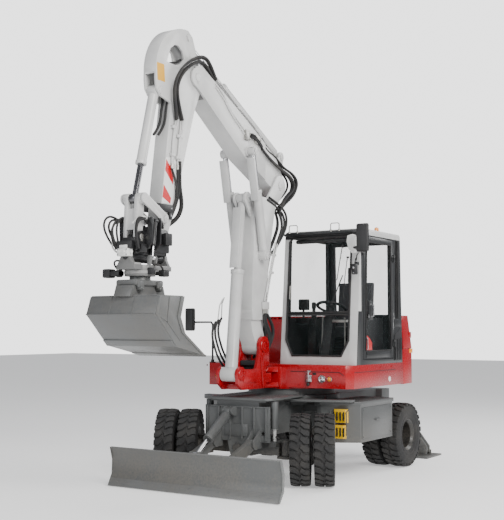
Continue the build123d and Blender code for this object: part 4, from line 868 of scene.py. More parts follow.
for step in range(4):
    shift = 56 * step
    vents.append(plateOf([(-925 + shift, 1136, 1420), (-893 + shift, 1136, 1420),
                          (-905 + shift, 1136, 1700 + step * -8),
                          (-937 + shift, 1136, 1708 + step * -8)], (0, 12, 0), 4))
group(vents, "rearVents", "upper", "door_dark", finishes["trim_black"])
group([block((-948, -716), (1130.5, 1134), (1850, 1948), 2)], "quarterPanel", "upper", "door_dark")
group([beading([(-832, 1134, 1962), (-788, 1134, 1962), (-788, 1134, 2978), (-838, 1134, 2978)], 7, True)],
      "quarterSeal", "upper", "trim_black", blackRubber)
print("cab ready")

# mirrors
mirrorBacks = [block((548, 600), (1238, 1398), (2738, 3078), 24, 4),
               block((398, 448), (-1398, -1247), (1794, 2098), 22, 4)]
tubes = [hose([(196, 1142, 2754), (300, 1146, 2780), (470, 1152, 2800), (556, 1176, 2800),
               (566, 1240, 2800)], 11),
         hose([(196, 1142, 2960), (320, 1150, 2965), (480, 1160, 2965), (560, 1190, 2960),
               (566, 1240, 2950)], 9),
         beading([(430, -950, 1382), (430, -950, 1880), (430, -975, 1910), (430, -1250, 1910)], 14),
         block((400, 460), (-985, -915), (1380.5, 1392), 3),
         rod((430, -950, 1392), (430, -950, 1420), 22, 20, 2),
         block((186, 214), (1130.5, 1150), (2730, 2780), 3),
         block((186, 214), (1130.5, 1150), (2940, 2985), 3)]
group(mirrorBacks + tubes, "mirrorPair", "upper", "trim_black", stands=["mirrors"])
group([block((544.5, 549), (1254, 1382), (2756, 3060), 1.5),
       block((394.5, 399), (-1383, -1262), (1810, 2082), 1.5)],
      "mirrorFaces", "upper", "chrome_rod", mirrorGlass)
group([block((448, 456), (-1380, -1266), (1815, 2078), 3)], "mirrorPlate", "upper", "cab_grey",
      finishes["trim_black"])

# lamps on the skirt
lampFront, lampLevel = 536, 1215
lampPlan = ((745, 48, True), (850, 34, False), (-700, 42, True), (-790, 30, False))
bezels, lenses, ambers = [], [], []
for y, radius, white in lampPlan:
    bezels.append(turned([(radius * 0.7, 0.5), (radius, 0.5), (radius, 15), (radius * 0.95, 22),
                          (radius * 0.86, 24), (radius * 0.82, 12), (radius * 0.7, 8)],
                         (lampFront, y, lampLevel), (1, 0, 0), 48))
    lens = turned([(0, 6), (radius * 0.84, 6), (radius * 0.83, 14), (radius * 0.6, 21),
                   (radius * 0.3, 24.5), (0, 25.5)],
                  (lampFront, y, lampLevel), (1, 0, 0), 40)
    (lenses if white else ambers).append(lens)
    if white:
        lenses.append(turned([(0, 22), (9, 22), (9, 27), (0, 28)], (lampFront, y, lampLevel),
                             (1, 0, 0), 16))
ambers.append(block((-1296, -1190), (1130, 1138), (1500, 1556), 3))
ambers.append(block((-1296, -1190), (-1138, -1130), (1500, 1556), 3))
group(bezels, "lampBezels", "upper", "chrome_rod", brightSteel, stands=["lamps"])
group(lenses, "lampLenses", "upper", "lamp_clear", metal("lampReflector", (0.78, 0.80, 0.82), 0.16))
group(ambers, "amberLamps", "upper", "lamp_clear", amberLens)
group([block((-1712, -1700), (y - 70, y + 70), (1400, 1450), 3) for y in (-700, 700)], "tailLamps", "upper",
      "lamp_clear", redLens)
group([turned([(0, 0), (34, 0), (34, 4), (28, 7), (0, 7)], (-560, 1130, 1180), (0, 1, 0), 32)], "sideLamp",
      "upper", "lamp_clear", whiteBlock)
group([turned([(0, 0), (30, 0), (30, 60), (26, 74), (10, 82), (0, 84)], (-700, 900, 3080), (0, 0, 1), 32)],
      "beacon", "upper", "lamp_clear", amberLens)
print("lamps and mirrors ready")

# hydraulic hoses, pipes and pins on the booms


def pin(centre, y, radius):
    # a pin head with its keeper plate and bolt, proud of the plate at y
    side, thick = (1 if y > 0 else -1), 10
    x, z = centre
    head = turned([(0, 0), (radius, 0), (radius, thick - 2), (radius - 3, thick), (radius * 0.35, thick),
                   (radius * 0.3, thick - 4), (0, thick - 4)],
                  (x, y, z), (0, side, 0), 36)
    plate = block((x - 14, x + 14), sorted((y, y + side * 7)), (z - radius * 1.45, z - radius * 0.7), 2)
    return [head, plate, bolt((x, y + side * 7, z - radius * 1.2), (0, side, 0), 8, 6)]


pinPlan = {
    "swing": [((915, 1617), 150, 46), ((1420, 1285), 150, 46)],
    "lower_boom": [((503, 3630), 135, 46), ((998, 2708), 250, 34), ((1180, 3400), 86, 34)],
    "upper_boom": [((2270, 4640), 118, 48), ((368, 4022), 70, 30), ((1255, 3950), 244, 30)],
    "arm": [((2912, 4375), 85, 30), ((2885, 2985), 146, 32), ((2412, 5068), 86, 30)],
    "bucket_link": [((3225, 3170), 117, 30)],
    "tilt_hitch": [((2850, 2795), 116, 32), ((3250, 2765), 116, 32)],
}
for body, pins in pinPlan.items():
    heads = []
    for centre, y, radius in pins:
        heads += pin(centre, y, radius) + pin(centre, -y, radius)
    slot = "body_red" if body == "swing" else "hitch_grey" if body == "tilt_hitch" else "boom_grey"
    group(heads, body + "Pins", body, slot, zincSteel if body == "tilt_hitch" else None)


def runs(paths, name, body, radius, finish=None, other=None, span=None, slot="trim_black"):
    # hoses or pipes as one piece; one between two bodies is left on no body, with its place baked into the
    # mesh
    tubes = [hose(path, radius) for path in paths]
    piece = group(tubes, name, None if other else body, slot, finish or hoseRubber)
    if other:
        tuple(place(*span[0]))
        tuple(place(*span[1]))
        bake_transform(piece)
    return piece


def paintedPipes(paths, name, body, radius):
    return runs(paths, name, body, radius, finishes["boom_grey"], slot="boom_grey")


def shifted(path, x=0, y=0, z=0):
    return [(px + x, py + y, pz + z) for px, py, pz in path]


tipOuter = [(1880, 84, 4690), (2010, 96, 4850), (2159, 128, 4897), (2326, 138, 4847), (2505, 140, 4751),
            (2645, 138, 4623), (2722, 136, 4490), (2738, 132, 4371), (2712, 124, 4249), (2664, 112, 4080)]
tipInner = [(1900, 60, 4690), (2040, 70, 4800), (2177, 110, 4835), (2325, 136, 4803), (2470, 136, 4727),
            (2610, 134, 4610), (2687, 130, 4487), (2703, 126, 4378), (2650, 116, 4240), (2570, 106, 4095)]
runs([tipOuter, shifted(tipOuter, x=14, y=24, z=6), tipInner, shifted(tipInner, y=26)], "tipHoses",
     "upper_boom", 15, None, "arm", ((2120, 120, 4860), (2600, 120, 4640)))
paintedPipes([[(2664, 108, 4085), (2700, 104, 3931), (2722, 102, 3771), (2724, 102, 3600)],
              [(2650, 132, 4090), (2684, 108, 3960), (2700, 104, 3771), (2702, 102, 3600)]],
             "armPipesFront", "arm", 11)
paintedPipes([[(2572, 104, 4100), (2581, 102, 3931), (2612, 102, 3789), (2620, 102, 3600)],
              [(2566, 130, 4100), (2562, 106, 3960), (2590, 102, 3789), (2598, 102, 3600)]],
             "armPipesRear", "arm", 11)
clamps = [block((2540, 2650), (86, 122), (3900, 3932), 4), block((2580, 2660), (86, 122), (3660, 3692), 4),
          block((2660, 2730), (86, 122), (3990, 4020), 4), block((2680, 2750), (86, 122), (3680, 3710), 4)]
clamps += [bolt((2596, 122, 3916), (0, 1, 0), 7, 5), bolt((2618, 122, 3676), (0, 1, 0), 7, 5)]
group(clamps, "armClamps", "arm", "boom_grey")
group([rod((x, 102, 3600), (x + 2, 102, 3544), 17, 12, 4) for x in (2620, 2598, 2724, 2702)],
      "armCouplings", "arm", "chrome_rod", zincSteel)
runs([[(2621, 102, 3550), (2606, 104, 3400), (2634, 104, 3250), (2690, 98, 3110), (2750, 92, 3000)],
      [(2600, 102, 3550), (2580, 112, 3400), (2612, 112, 3250), (2668, 106, 3110), (2730, 98, 3010)],
      [(2725, 102, 3550), (2690, 110, 3460), (2630, 118, 3360), (2650, 112, 3240)]],
      "armLowHoses", "arm", 12)
bucketHoses = [(2700, 30, 4460), (2723, 20, 4392), (2706, 30, 4302), (2750, 34, 4175), (2748, 30, 4080),
               (2790, 26, 3980), (2860, 20, 3900)]
runs([bucketHoses, shifted(bucketHoses, x=24, y=-46)], "bucketRamHoses", "arm", 15)

corrugated = [(2600, 112, 3640), (2592, 108, 3498), (2586, 100, 3333), (2520, 92, 3199), (2547, 84, 3063),
              (2640, 76, 2984), (2740, 60, 2930)]
ribbed = [hose(corrugated, 21)]
ringSpots = []
guideLine = drawCurve(corrugated, "NURBS", steps=14)
line = [vertex.co * 1000 + Vector((wheelbaseShift, 0, 0)) for vertex in guideLine.data.vertices]
bpy.data.objects.remove(guideLine)
for first, second in zip(line, line[1:]):
    ringSpots.append(turned([(20, -3.5), (24.5, -2), (24.5, 2), (20, 3.5)], tuple((first + second) / 2),
                            tuple(second - first), 16))
piece = group(ribbed + ringSpots, "ribbedHose", None, "trim_black", hoseRubber)
tuple(place(2560, 90, 3160))
tuple(place(2700, 70, 2950))
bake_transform(piece)

# pipes along the top of the upper boom and the loop behind the knee
topRuns = [(1898, 4722), (1681, 4606), (1560, 4530), (1240, 4375), (1010, 4262), (870, 4188)]
pipes = []
for y, endY in ((-102, -78), (-80, -46), (80, 46), (102, 78)):
    pipes.append([(x - 8, y, z + 6) for x, z in topRuns[:-1]]
                 + [(topRuns[-1][0] - 8, endY, topRuns[-1][1] + (16 if abs(endY) < 60 else 6))])
paintedPipes(pipes, "topPipes", "upper_boom", 10.5)
bridges = []
for x, z in ((1845, 4680), (1420, 4450), (1010, 4250)):
    bridges.append(fixPlace(plateOf([(x - 20, -112, z - 14), (x + 20, -112, z + 6), (x + 12, -112, z + 26),
                                     (x - 28, -112, z + 6)], (0, 224, 0), 4)))
    bridges += [bolt((x - 8, y, z + 17), (-0.45, 0, 0.9), 8, 6) for y in (-62, 0, 62)]
group(bridges, "pipeBridges", "upper_boom", "boom_grey")
sidePipes = [[(1930, 124, 4640), (1780, 128, 4560), (1690, 128, 4440), (1560, 128, 4330), (1420, 126, 4270),
              (1290, 124, 4180)],
             [(1930, 124, 4600), (1770, 128, 4510), (1660, 128, 4390), (1540, 128, 4290), (1400, 126, 4220),
              (1300, 124, 4130)]]
paintedPipes(sidePipes, "sidePipes", "upper_boom", 9.5)
fittings = [block((1240, 1330), (119, 150), (4090, 4210), 6),
            block((1000, 1100), (119, 146), (4080, 4180), 6)]
fittings += [rod((x, 134, z), (x - 44, 134, z - 26), 15, 12, 4)
             for x, z in ((1250, 4190), (1250, 4130), (1010, 4150), (1010, 4100))]
group(fittings, "boomFittings", "upper_boom", "chrome_rod", zincSteel)
loopRuns = []
for shiftY, drop in ((0, 0), (26, -26), (52, 8)):
    loopRuns.append([(1210, 134 + shiftY / 3, 4160 + drop), (1120, 150, 4176 + drop),
                     (1040, 146, 4110 + drop), (940, 138, 4060 + drop / 2)])
runs(loopRuns, "boomSideHoses", "upper_boom", 13)
kneeOut = [(860, 96, 4130), (799, 96, 4040), (580, 96, 4010), (420, 104, 3900), (292, 100, 3863),
           (102, 96, 3835), (-28, 92, 3742), (38, 92, 3613), (160, 96, 3500), (330, 100, 3420),
           (470, 104, 3310)]
kneeMid = [(930, 120, 4050), (760, 122, 3950), (560, 122, 3880), (400, 122, 3830), (230, 118, 3800),
           (110, 112, 3720), (140, 110, 3630), (300, 112, 3540), (420, 116, 3440), (520, 124, 3310)]
kneeIn = [(900, 60, 4090), (700, 60, 4020), (520, 64, 3990), (330, 66, 3840), (150, 64, 3780),
          (60, 60, 3690), (110, 60, 3580), (280, 64, 3470), (420, 80, 3400), (500, 90, 3280)]
kneeLines = [kneeOut, shifted(kneeOut, x=-20, y=-36, z=16), shifted(kneeOut, x=26, y=-70, z=-18), kneeMid,
             shifted(kneeMid, x=20, y=22, z=-24), kneeIn, shifted(kneeIn, x=30, y=-50, z=20)]
runs(kneeLines, "kneeHoses", "upper_boom", 15, None, "lower_boom", ((210, 90, 3840), (330, 90, 3420)))
backBundle = [(480, 100, 3310), (430, 110, 3230), (410, 112, 3120), (480, 108, 2995), (540, 100, 2880),
              (610, 90, 2780)]
backOut = [(800, 152, 3446), (640, 150, 3404), (450, 142, 3349), (330, 130, 3255), (330, 124, 3126),
           (400, 116, 3016), (500, 104, 2890), (600, 96, 2790)]
runs([backBundle, shifted(backBundle, x=30, y=-40), shifted(backBundle, x=-26, y=-84, z=20),
      shifted(backBundle, x=44, y=24, z=-30), backOut, shifted(backOut, x=26, y=-18, z=-30)],
     "backHoses", "lower_boom", 15)
backPipes = [(620, y, 2800) for y in (-90, -50, -10, 30, 70)]
paintedPipes([[(x, y, z), (700, y, 2600), (752, y, 2400), (790, y, 2160)] for x, y, z in backPipes],
             "backPipes", "lower_boom", 10.5)
leftPipes = [[(640, 148, 2900), (720, 148, 2700), (790, 148, 2480), (860, 148, 2300), (905, 148, 2160)],
             [(600, 148, 2880), (664, 148, 2740), (730, 148, 2560), (800, 148, 2360), (850, 148, 2180)]]
paintedPipes(leftPipes, "leftPipes", "lower_boom", 9.5)
blocks = [block((820, 960), (136, 168), (2060, 2150), 5), block((700, 790), (136, 160), (2500, 2530), 4),
          block((640, 730), (136, 160), (2720, 2750), 4)]
blocks += [block((770, 830), (-110, 110), (2120, 2180), 6)]
group(blocks, "pipeBlocks", "lower_boom", "boom_grey")
ends = [rod((x, 152, 2066), (x - 2, 152, 2006), 17, 12, 4) for x in (850, 890, 930)] + \
    [rod((792, y, 2130), (786, y, 2070), 16, 12, 4) for y in (-90, -50, -10, 30, 70)]
group(ends, "pipeEnds", "lower_boom", "chrome_rod", zincSteel)
footOuter = [(850, 152, 2010), (800, 158, 1940), (735, 160, 1880), (690, 150, 1774), (700, 130, 1666),
             (760, 90, 1560), (800, 60, 1480)]
footInner = [(890, 152, 2010), (900, 158, 1940), (880, 164, 1880), (790, 160, 1780), (730, 140, 1680),
             (740, 110, 1580), (790, 80, 1480)]
footRight = [(788, -60, 2070), (740, -70, 1980), (680, -76, 1850), (660, -70, 1700), (720, -50, 1560),
             (790, -40, 1470)]
runs([footOuter, footInner, shifted(footOuter, x=-26, y=-26), shifted(footInner, x=30, y=-6, z=-20),
      footRight, shifted(footRight, x=-10, y=46), shifted(footRight, x=16, y=-34, z=-10),
      shifted(footRight, x=20, y=100)],
     "footHoses", "lower_boom", 16, None, "swing", ((800, 100, 1800), (760, 90, 1600)))
rightLoop = [(1388, -200, 1931), (1470, -190, 1860), (1492, -186, 1753), (1440, -180, 1630),
             (1386, -176, 1514), (1280, -172, 1400), (1171, -168, 1329)]
runs([rightLoop, shifted(rightLoop, x=-30, y=24, z=20), shifted(rightLoop, x=26, y=-22, z=-26)],
     "liftRamHoses", "swing", 14)
group([beading([(1400, -200, 1930), (1380, -190, 2100), (1340, -170, 2180)], 8),
       beading([(1330, -200, 1930), (1330, -190, 2120), (1310, -170, 2200)], 8)],
      "liftRamPipes", "swing", "boom_grey")
armRamHoses = [[(876, 40, 4260), (818, 50, 4190), (740, 62, 4110), (640, 70, 4040)],
               [(900, -40, 4270), (830, -50, 4200), (740, -62, 4110), (640, -70, 4040)]]
runs(armRamHoses, "armRamHoses", "upper_boom", 14)
print("hoses ready")

# marks on the arm and the hook
bandPlan = (((2800, 3640), (2672, 3505), (2682, 3375), (2822, 3515)),
            ((2844, 3362), (2716, 3228), (2726, 3162), (2866, 3222)))
armFace = 85
group([plateOf([(x, armFace + 0.2, z) for x, z in outline], (0, 1.8, 0), 0) for outline in bandPlan],
      "armBandsRed", "arm", "boom_grey", signalRed)
group([plateOf([(2690, 85.1, 3160), (2876, 85.1, 3160), (2806, 85.1, 3662), (2610, 85.1, 3662)],
               (0, 1.0, 0), 0)],
      "armBandsWhite", "arm", "boom_grey", signalWhite)
group([plateOf([(2834, 85.2, 4470), (2962, 85.2, 4470), (2976, 85.2, 4660), (2848, 85.2, 4660)],
               (0, 2.2, 0), 0.8, 1)],
      "hookPlate", "arm", "boom_grey", yellowPlate)
bar = [plateOf([(2478, 20, 4790), (2560, 20, 4745), (2664, 20, 4712), (2690, 20, 4730), (2570, 20, 4766),
                (2490, 20, 4812)], (0, 30, 0), 4)]
group(bar, "hookBuffer", "arm", "trim_black", blackRubber)
group([block((2716, 2990), (86, 118), (3066, 3146), 6), block((2716, 2990), (-118, -86), (3066, 3146), 6),
       block((2720, 2780), (86, 112), (2990, 3080), 6)], "armLowBracket", "arm", "trim_black")
group([bolt((x, 116, 3106), (0, 1, 0), 10, 3) for x in (2744, 2960)]
      + [bolt((2746, 112, 3030), (0, 1, 0), 9, 6)],
      "armLowBolts", "arm", "chrome_rod", brightSteel)

# tiltrotator: valve block, motors, hose loops, guards
soft["tilt_hitch"].data.materials[0] = finishes["hitch_dark"]
hitchBits = [block((2930, 3330), (-88, 88), (2700, 2760), 14, 3),
             rod((3010, -60, 2820), (3010, 60, 2820), 44, 32, 6),
             block((2960, 3070), (-70, 70), (2740, 2890), 12, 3),
             block((3090, 3180), (-84, 84), (2770, 2850), 12, 3),
             rod((3140, -70, 2860), (3140, 70, 2860), 36, 28, 6),
             block((3300, 3396), (-96, 96), (2640, 2720), 12, 3),
             block((2790, 2900), (118, 168), (2700, 2830), 10, 3),
             block((2800, 2880), (-168, -118), (2690, 2810), 10, 3),
             block((3210, 3300), (118, 160), (2600, 2690), 8, 2),
             block((3210, 3300), (-160, -118), (2600, 2690), 8, 2)]
group(hitchBits, "hitchBlocks", "tilt_hitch", "hitch_dark", finishes["trim_black"])
valve = [block((3330, 3420), (-70, 70), (2560, 2640), 8, 3),
         block((3345, 3405), (-50, 50), (2640, 2676), 6, 2),
         rod((3420, -36, 2606), (3440, -36, 2606), 15, 20, 3),
         rod((3420, 30, 2606), (3440, 30, 2606), 15, 20, 3),
         rod((3376, -96, 2606), (3376, 96, 2606), 17, 20, 3)]
group(valve, "valveBlock", "tilt_hitch", "chrome_rod", whiteBlock)
group([bolt((3420, y, z), (1, 0, 0), 6, 5) for y in (-58, 58) for z in (2575, 2628)]
      + [rod((2800, y, 2795), (2800, y * 1.06, 2795), 12, 16) for y in (150, -150)]
      + [rod((3060, y, 2930), (3060, y, 2996), 12, 16, 3) for y in (-60, -20, 20, 60)], "hitchBolts",
      "tilt_hitch", "chrome_rod", brightSteel)
arcs = []
for y, rise, lean in ((-150, 0, 0), (-126, 22, 20), (-100, 40, -16), (150, 6, 10), (126, 30, -14)):
    side = 1 if y > 0 else -1
    arcs.append([(3330, y, 2640), (3404 + lean, y * 1.16, 2760 + rise), (3380 + lean, y * 1.1, 2900 + rise),
                 (3280, y, 2950 + rise), (3170, y * 0.95, 2925 + rise * 0.5), (3085, y * 0.85, 2850)])
arcs.append([(3100, -196, 2880), (3220, -250, 2990), (3340, -270, 2940), (3330, -260, 2820),
             (3240, -220, 2700)])
arcs.append([(3130, -200, 2900), (3270, -262, 3030), (3400, -290, 2960), (3380, -280, 2820),
             (3290, -230, 2680)])
arcs.append([(2900, 120, 2880), (2960, 170, 2960), (3060, 176, 2940), (3110, 168, 2850)])
runs(arcs, "hitchHoses", "tilt_hitch", 12)
runs([[(3180, -140, 2700), (3330, -230, 2780), (3360, -240, 2660), (3250, -180, 2600)],
      [(3070, 104, 2880), (3150, 140, 3000), (3260, 120, 3010), (3330, 60, 2900)]], "hitchPaleHoses",
      "tilt_hitch", 9, whiteBlock)

rotorBits = [turned([(120, 2376), (152, 2376), (164, 2392), (164, 2420), (150, 2432), (120, 2432)],
                    (3125, 0, 0), (0, 0, 1), 64)]
for turn in range(16):
    angle = math.tau * turn / 16
    rotorBits.append(bolt((3125 + 144 * math.cos(angle), 144 * math.sin(angle), 2432), (0, 0, 1), 8, 6))
rotorBits += [block((3240, 3350), (-116, 116), (2432, 2500), 10, 3),
              block((2790, 2900), (-110, 110), (2432, 2486), 10, 3)]
group(rotorBits, "rotorCollar", "tilt_frame", "hitch_grey",
      sprayed("rotorPale", (0.30, 0.30, 0.295), dirt=0.1, gloss=0.32, dirtTop=5.0))
motors = [block((3190, 3300), (-370, -268), (2352, 2446), 16, 3),
          block((3200, 3290), (-276, -150), (2372, 2420), 8, 2),
          rod((3245, -150, 2396), (3245, -210, 2396), 40, 28, 5),
          block((2960, 3050), (176, 262), (2360, 2430), 14, 3),
          block((2970, 3040), (120, 190), (2376, 2416), 8, 2),
          block((3130, 3190), (120, 210), (2380, 2450), 10, 2),
          block((2740, 2800), (-60, 60), (2440, 2500), 8, 2)]
group(motors, "rotorMotors", "tilt_frame", "hitch_grey", finishes["trim_black"])
runs([[(3250, -200, 2440), (3300, -230, 2500), (3320, -190, 2540), (3300, -120, 2520)],
      [(3000, 200, 2430), (3030, 220, 2480), (3080, 190, 2500), (3100, 150, 2480)]],
     "rotorHoses", "tilt_frame", 10)
couplerBits = [block((2905, 3345), (-136, 136), (2268, 2320), 8, 3),
               block((2930, 3020), (-150, -120), (2240, 2310), 6, 2),
               block((3240, 3330), (-150, -120), (2240, 2310), 6, 2),
               block((2930, 3020), (120, 150), (2240, 2310), 6, 2),
               block((3240, 3330), (120, 150), (2240, 2310), 6, 2),
               rod((2975, -170, 2230), (2975, 170, 2230), 26, 28, 4),
               rod((3290, -170, 2230), (3290, 170, 2230), 26, 28, 4)]
for x in (2975, 3290):
    for y in (-1, 1):
        couplerBits.append(bolt((x, y * 170, 2230), (0, y, 0), 13, 8))
group(couplerBits, "couplerPlate", "bucket", "bucket_steel")

# bucket: side cutters, wear strips and seams
bucketBits = []
for side in (-1, 1):
    def face(points, thick, bevel=3):
        low = 450 if side > 0 else -450 - thick
        return plateOf([(x, low, z) for x, z in points], (0, thick, 0), bevel)
    bucketBits.append(face([(2960, 2150), (3020, 2150), (3082, 1945), (3002, 1780), (2640, 1548),
                            (2580, 1540), (2945, 1775), (3022, 1943)], 8))
    bucketBits.append(face([(3372, 2150), (3384, 2126), (3436, 1972), (3110, 1656), (3090, 1652),
                            (3392, 1968), (3350, 2150)], 6, 2))
    bucketBits.append(face([(3200, 2150), (3214, 2150), (3250, 1892), (3234, 1890)], 5, 1.5))
    bucketBits.append(face([(3234, 1890), (3250, 1892), (3404, 1960), (3402, 1974), (3242, 1904)], 5, 1.5))
    bucketBits.append(face([(3238, 1896), (3250, 1890), (3030, 1700), (3012, 1700)], 5, 1.5))
for y in (-150, 150):
    bucketBits.append(plateOf([(3384, y - 5, 2148), (3450, y - 5, 1968), (3446, y - 5, 1950),
                               (3374, y - 5, 2138)], (0, 10, 0), 1.5))
bucketBits.append(plateOf([(3112, -452, 1640), (3180, -452, 1700), (3172, -452, 1712), (3100, -452, 1650)],
                          (0, 904, 0), 3))
bucketBits.append(plateOf([(2566, -452, 1526), (2700, -452, 1556), (2696, -452, 1570), (2562, -452, 1546)],
                          (0, 904, 0), 3))
bucketBits.append(plateOf([(2950, -430, 2152), (3384, -430, 2152), (3384, -430, 2162), (2950, -430, 2162)],
                          (0, 860, 0), 3))
bucketBits.append(rod((3446, -450, 1968), (3446, 450, 1968), 7, 16))
group(bucketBits, "bucketStrips", "bucket", "bucket_steel")
print("tool ready")

# platform skirt, swing post, tail and hood
latch = [block((537, 556), (520, 600), (1170, 1262), 8, 3),
         rod((556, 560, 1180), (556, 560, 1300), 11, 20, 2), block((537, 562), (530, 590), (1290, 1316), 5)]
group(latch, "slewLatch", "upper", "chrome_rod", brightSteel)
group([block((534, 541), (610, 660), (1262, 1286), 2), block((534, 539), (-480, -420), (1230, 1290), 2),
       rod((560, 560, 1166), (560, 560, 1130), 20, 20, 4)], "skirtSlots", "upper", "trim_black")
group([plateOf([(536.3, y, z) for y, z in ((300, 1302), (980, 1302), (1040, 1262), (1040, 1256),
                                           (976, 1294), (300, 1294))], (3, 0, 0), 0),
       block((-760, 440), (1130, 1133), (1292, 1298), 0),
       block((-760, 210), (-1133, -1130), (1292, 1298), 0)], "skirtLines", "upper", "trim_black")
group([bolt((536, y, z), (1, 0, 0), 9, 6) for y in (420, 960) for z in (1140, 1340)]
      + [bolt((x, side * 1130, 1340), (0, side, 0), 9, 6) for x in (-640, -300, 60, 210 + 85 * side)
         for side in (-1, 1)], "skirtBolts", "upper", "body_red")
noseArch = [plateOf([(560, side * 100, 1352), (760, side * 70, 1352), (800, side * 60, 1300),
                     (740, side * 60, 1292), (560, side * 90, 1292)],
                    (0, side * 46, 0), 10, 3) for side in (-1, 1)]
group(noseArch, "noseRibs", "upper", "body_red")
postBits = []
for side in (-1, 1):
    low = 150 if side > 0 else -162
    for centre, radius in (((915, 1617), 84), ((1420, 1285), 70)):
        postBits.append(turned([(radius * 0.62, 0), (radius, 0), (radius, 10), (radius - 4, 14),
                                (radius * 0.62, 14)],
                               (centre[0], side * 150, centre[1]), (0, side, 0), 40))
    postBits.append(plateOf([(900, low, 1120), (960, low, 1120), (1010, low, 1500), (960, low, 1510)],
                            (0, 12, 0), 5))
    postBits.append(plateOf([(1080, low, 1320), (1330, low, 1328), (1390, low, 1200), (1100, low, 1180)],
                            (0, 10, 0), 5))
postBits.append(rod((750, 0, 1360), (750, 0, 1394), 92, 48, 10))
group(postBits, "postRibs", "swing", "body_red")
# painted shadow: dark blocks inside the swing post stand for the shade between its side plates
group([block((930, 1060), (-104, 104), (1380, 1440), 8), block((920, 1010), (-108, 108), (1180, 1370), 8)],
      "postShadow", "swing", "trim_black", darkMeshAndShadow)
group([rod((860, 60, 1470), (900, 60, 1300), 24, 24, 4), rod((700, 40, 1220), (820, 40, 1220), 22, 24, 4),
       bolt((820, 40, 1220), (1, 0, 0), 26, 14)],
      "postUnions", "swing", "chrome_rod", zincSteel)

tailBits = []
for step in range(11):
    z = 1640 + 26 * step
    tailBits.append(block((-1715, -1650), (-420, 420), (z, z + 12), 4))
group(tailBits, "tailGrille", "hood", "trim_black", darkMeshAndShadow)
group([block((-1690, -1640), (-470, 470), (1610, 1634), 8),
       block((-1684, -1632), (-470, 470), (1928, 1950), 8),
       block((-1300, -1230), (1104, 1118), (1700, 1780), 5)], "tailTrim", "hood", "housing_red")
group([block((-1722, -1700), (-60, 60), (1590, 1640), 8),
       rod((-1724, 0, 1615), (-1700, 0, 1615), 20, 20, 3)], "hoodLatch", "hood", "trim_black")
group([rod((-1250, 200, 1996), (-1250, 200, 2090), 44, 32, 6),
       rod((-1250, 200, 2090), (-1262, 200, 2106), 36, 32, 6)], "exhaustPipe", "hood",
       "chrome_rod", zincSteel)
sideBits = []
for step in range(8):
    sideBits.append(block((-940 + 76 * step, -890 + 76 * step), (-1136, -1126), (1500, 1860), 4))
group(sideBits, "housingGrille", "upper", "trim_black", darkMeshAndShadow)
group([turned([(0, 0), (52, 0), (52, 22), (46, 30), (0, 30)], (-420, -900, 1949), (0, 0, 1), 36),
       block((-260, -236), (-700, -560), (1700, 1740), 4)],
      "fillerCap", "upper", "trim_black")
group([beading([(-330, -1080, 1948), (-330, -1080, 2130), (-360, -1080, 2160), (-860, -1080, 2160),
                (-890, -1080, 2130), (-890, -1080, 1948)], 14),
       beading([(-246, -1085, 1450), (-216, -1085, 1470), (-216, -1085, 1880), (-246, -1085, 1900)], 13)],
       "handRails", "upper", "trim_black")
print("upper structure ready")

# undercarriage: front plate, treads, box doors, hoses, steering ram, chocks and blade
plateBits = []
for y in (-430, -215, 215, 430):
    for z in (540, 700, 880):
        plateBits.append(bolt((1290, y, z), (1, 0, 0), 11, 7))
group(plateBits, "frontBolts", "chassis", "chassis_grey")
group([block((1290, 1306), (-160, 160), (560, 700), 6), block((1290, 1300), (-440, 440), (894, 910), 4)],
      "frontPlates", "chassis", "chassis_grey")
treads = []
for side in (-1, 1):
    for x in range(-620, 250, 60):
        treads.append(block((x, x + 26), sorted((side * 700, side * 1096)), (935, 942), 2, 1))
    for x in range(460, 1260, 56):
        treads.append(block((x, x + 22), sorted((side * 120, side * 380)), (1009, 1014), 2, 1))
group(treads, "stepTreads", "chassis", "chassis_grey")
boxBits = []
for side in (-1, 1):
    low = sorted((side * 1120, side * 1127))
    boxBits.append(block((-620, 230), low, (480, 860), 6))
    boxBits.append(beading([(-240, side * 1127, 700), (-240, side * 1150, 700), (-120, side * 1150, 700),
                            (-120, side * 1127, 700)], 9))
    boxBits += [bolt((x, side * 1127, z), (0, side, 0), 8, 5) for x in (-590, 200) for z in (510, 830)]
group(boxBits, "boxDoors", "chassis", "chassis_grey")
group([rod((300, side * 660, 955), (300, side * 660, 985), 16, 16, 3) for side in (-1, 1)], "fenderStops",
      "chassis", "trim_black")
axleTubes = []
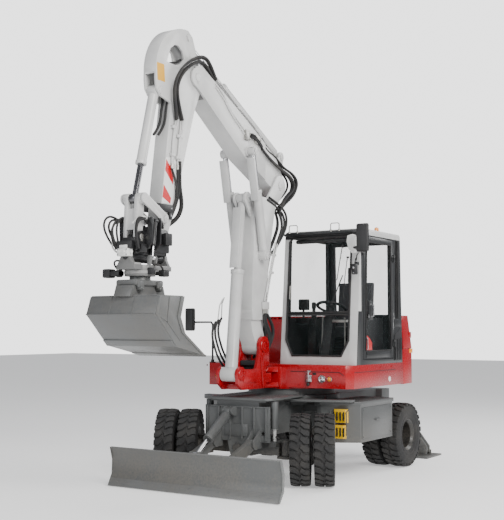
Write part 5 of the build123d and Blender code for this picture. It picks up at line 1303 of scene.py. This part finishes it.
for side in (-1, 1):
    axleTubes.append([(1180, side * 90, 520), (1200, side * 200, 600), (1210, side * 380, 620),
                      (1180, side * 520, 540)])
    axleTubes.append([(1230, side * 120, 640), (1250, side * 260, 700), (1240, side * 400, 720),
                      (1200, side * 470, 800)])
runs(axleTubes, "axleHoses", "chassis", 12)
group([rod((1080, -500, 430), (1080, 500, 430), 22, 24, 3),
       rod((1060, -260, 430), (1060, 260, 430), 38, 28, 5)], "steerRam", "chassis", "chrome_rod", zincSteel)
chockSlots = []
for low, high in ((500, 660), (690, 850)):
    for step in range(4):
        y = 842 + 44 * step
        chockSlots.append(block((446, 456), (y, y + 20), (low + 24, high - 30), 4))
group(chockSlots, "chockSlots", "chassis", "trim_black", darkMeshAndShadow)
group([beading([(400, 812, 520), (462, 812, 540), (466, 812, 820), (400, 812, 846)], 7),
       beading([(400, 1030, 520), (462, 1030, 540), (466, 1030, 820), (400, 1030, 846)], 7)],
      "chockHolder", "chassis", "chassis_grey")
bladeBits = [block((2196, 2226), (-1150, 1150), (440, 452), 3),
             plateOf([(2262, -1150, 8), (2240, -1150, 8), (2204, -1150, 90), (2212, -1150, 96)],
                     (0, 2300, 0), 2)]
for side in (-1, 1):
    low = 1150 if side > 0 else -1162
    bladeBits.append(plateOf([(2262, low, 9), (2232, low, 9), (2150, low, 120), (2140, low, 300),
                              (2190, low, 450), (2228, low, 450), (2184, low, 300), (2190, low, 140)],
                             (0, 12, 0), 3))
for x in range(-8, 9):
    bladeBits.append(bolt((2231, x * 130, 60), (0.9, 0, 0.3), 11, 4))
group(bladeBits, "bladeEdges", "blade", "chassis_grey",
      sprayed("bladePale", (0.13, 0.134, 0.134), dirt=0.1, gloss=0.36, wear=0.2))
bladeRibs = []
for side in (-1, 1):
    for y in (520, 860):
        bladeRibs.append(plateOf([(2150, side * y - 8, 60), (2170, side * y - 8, 420),
                                  (2130, side * y - 8, 420), (2080, side * y - 8, 330),
                                  (2080, side * y - 8, 130)], (0, 16, 0), 2))
group(bladeRibs, "bladeRibs", "blade", "chassis_grey")
print("undercarriage ready")
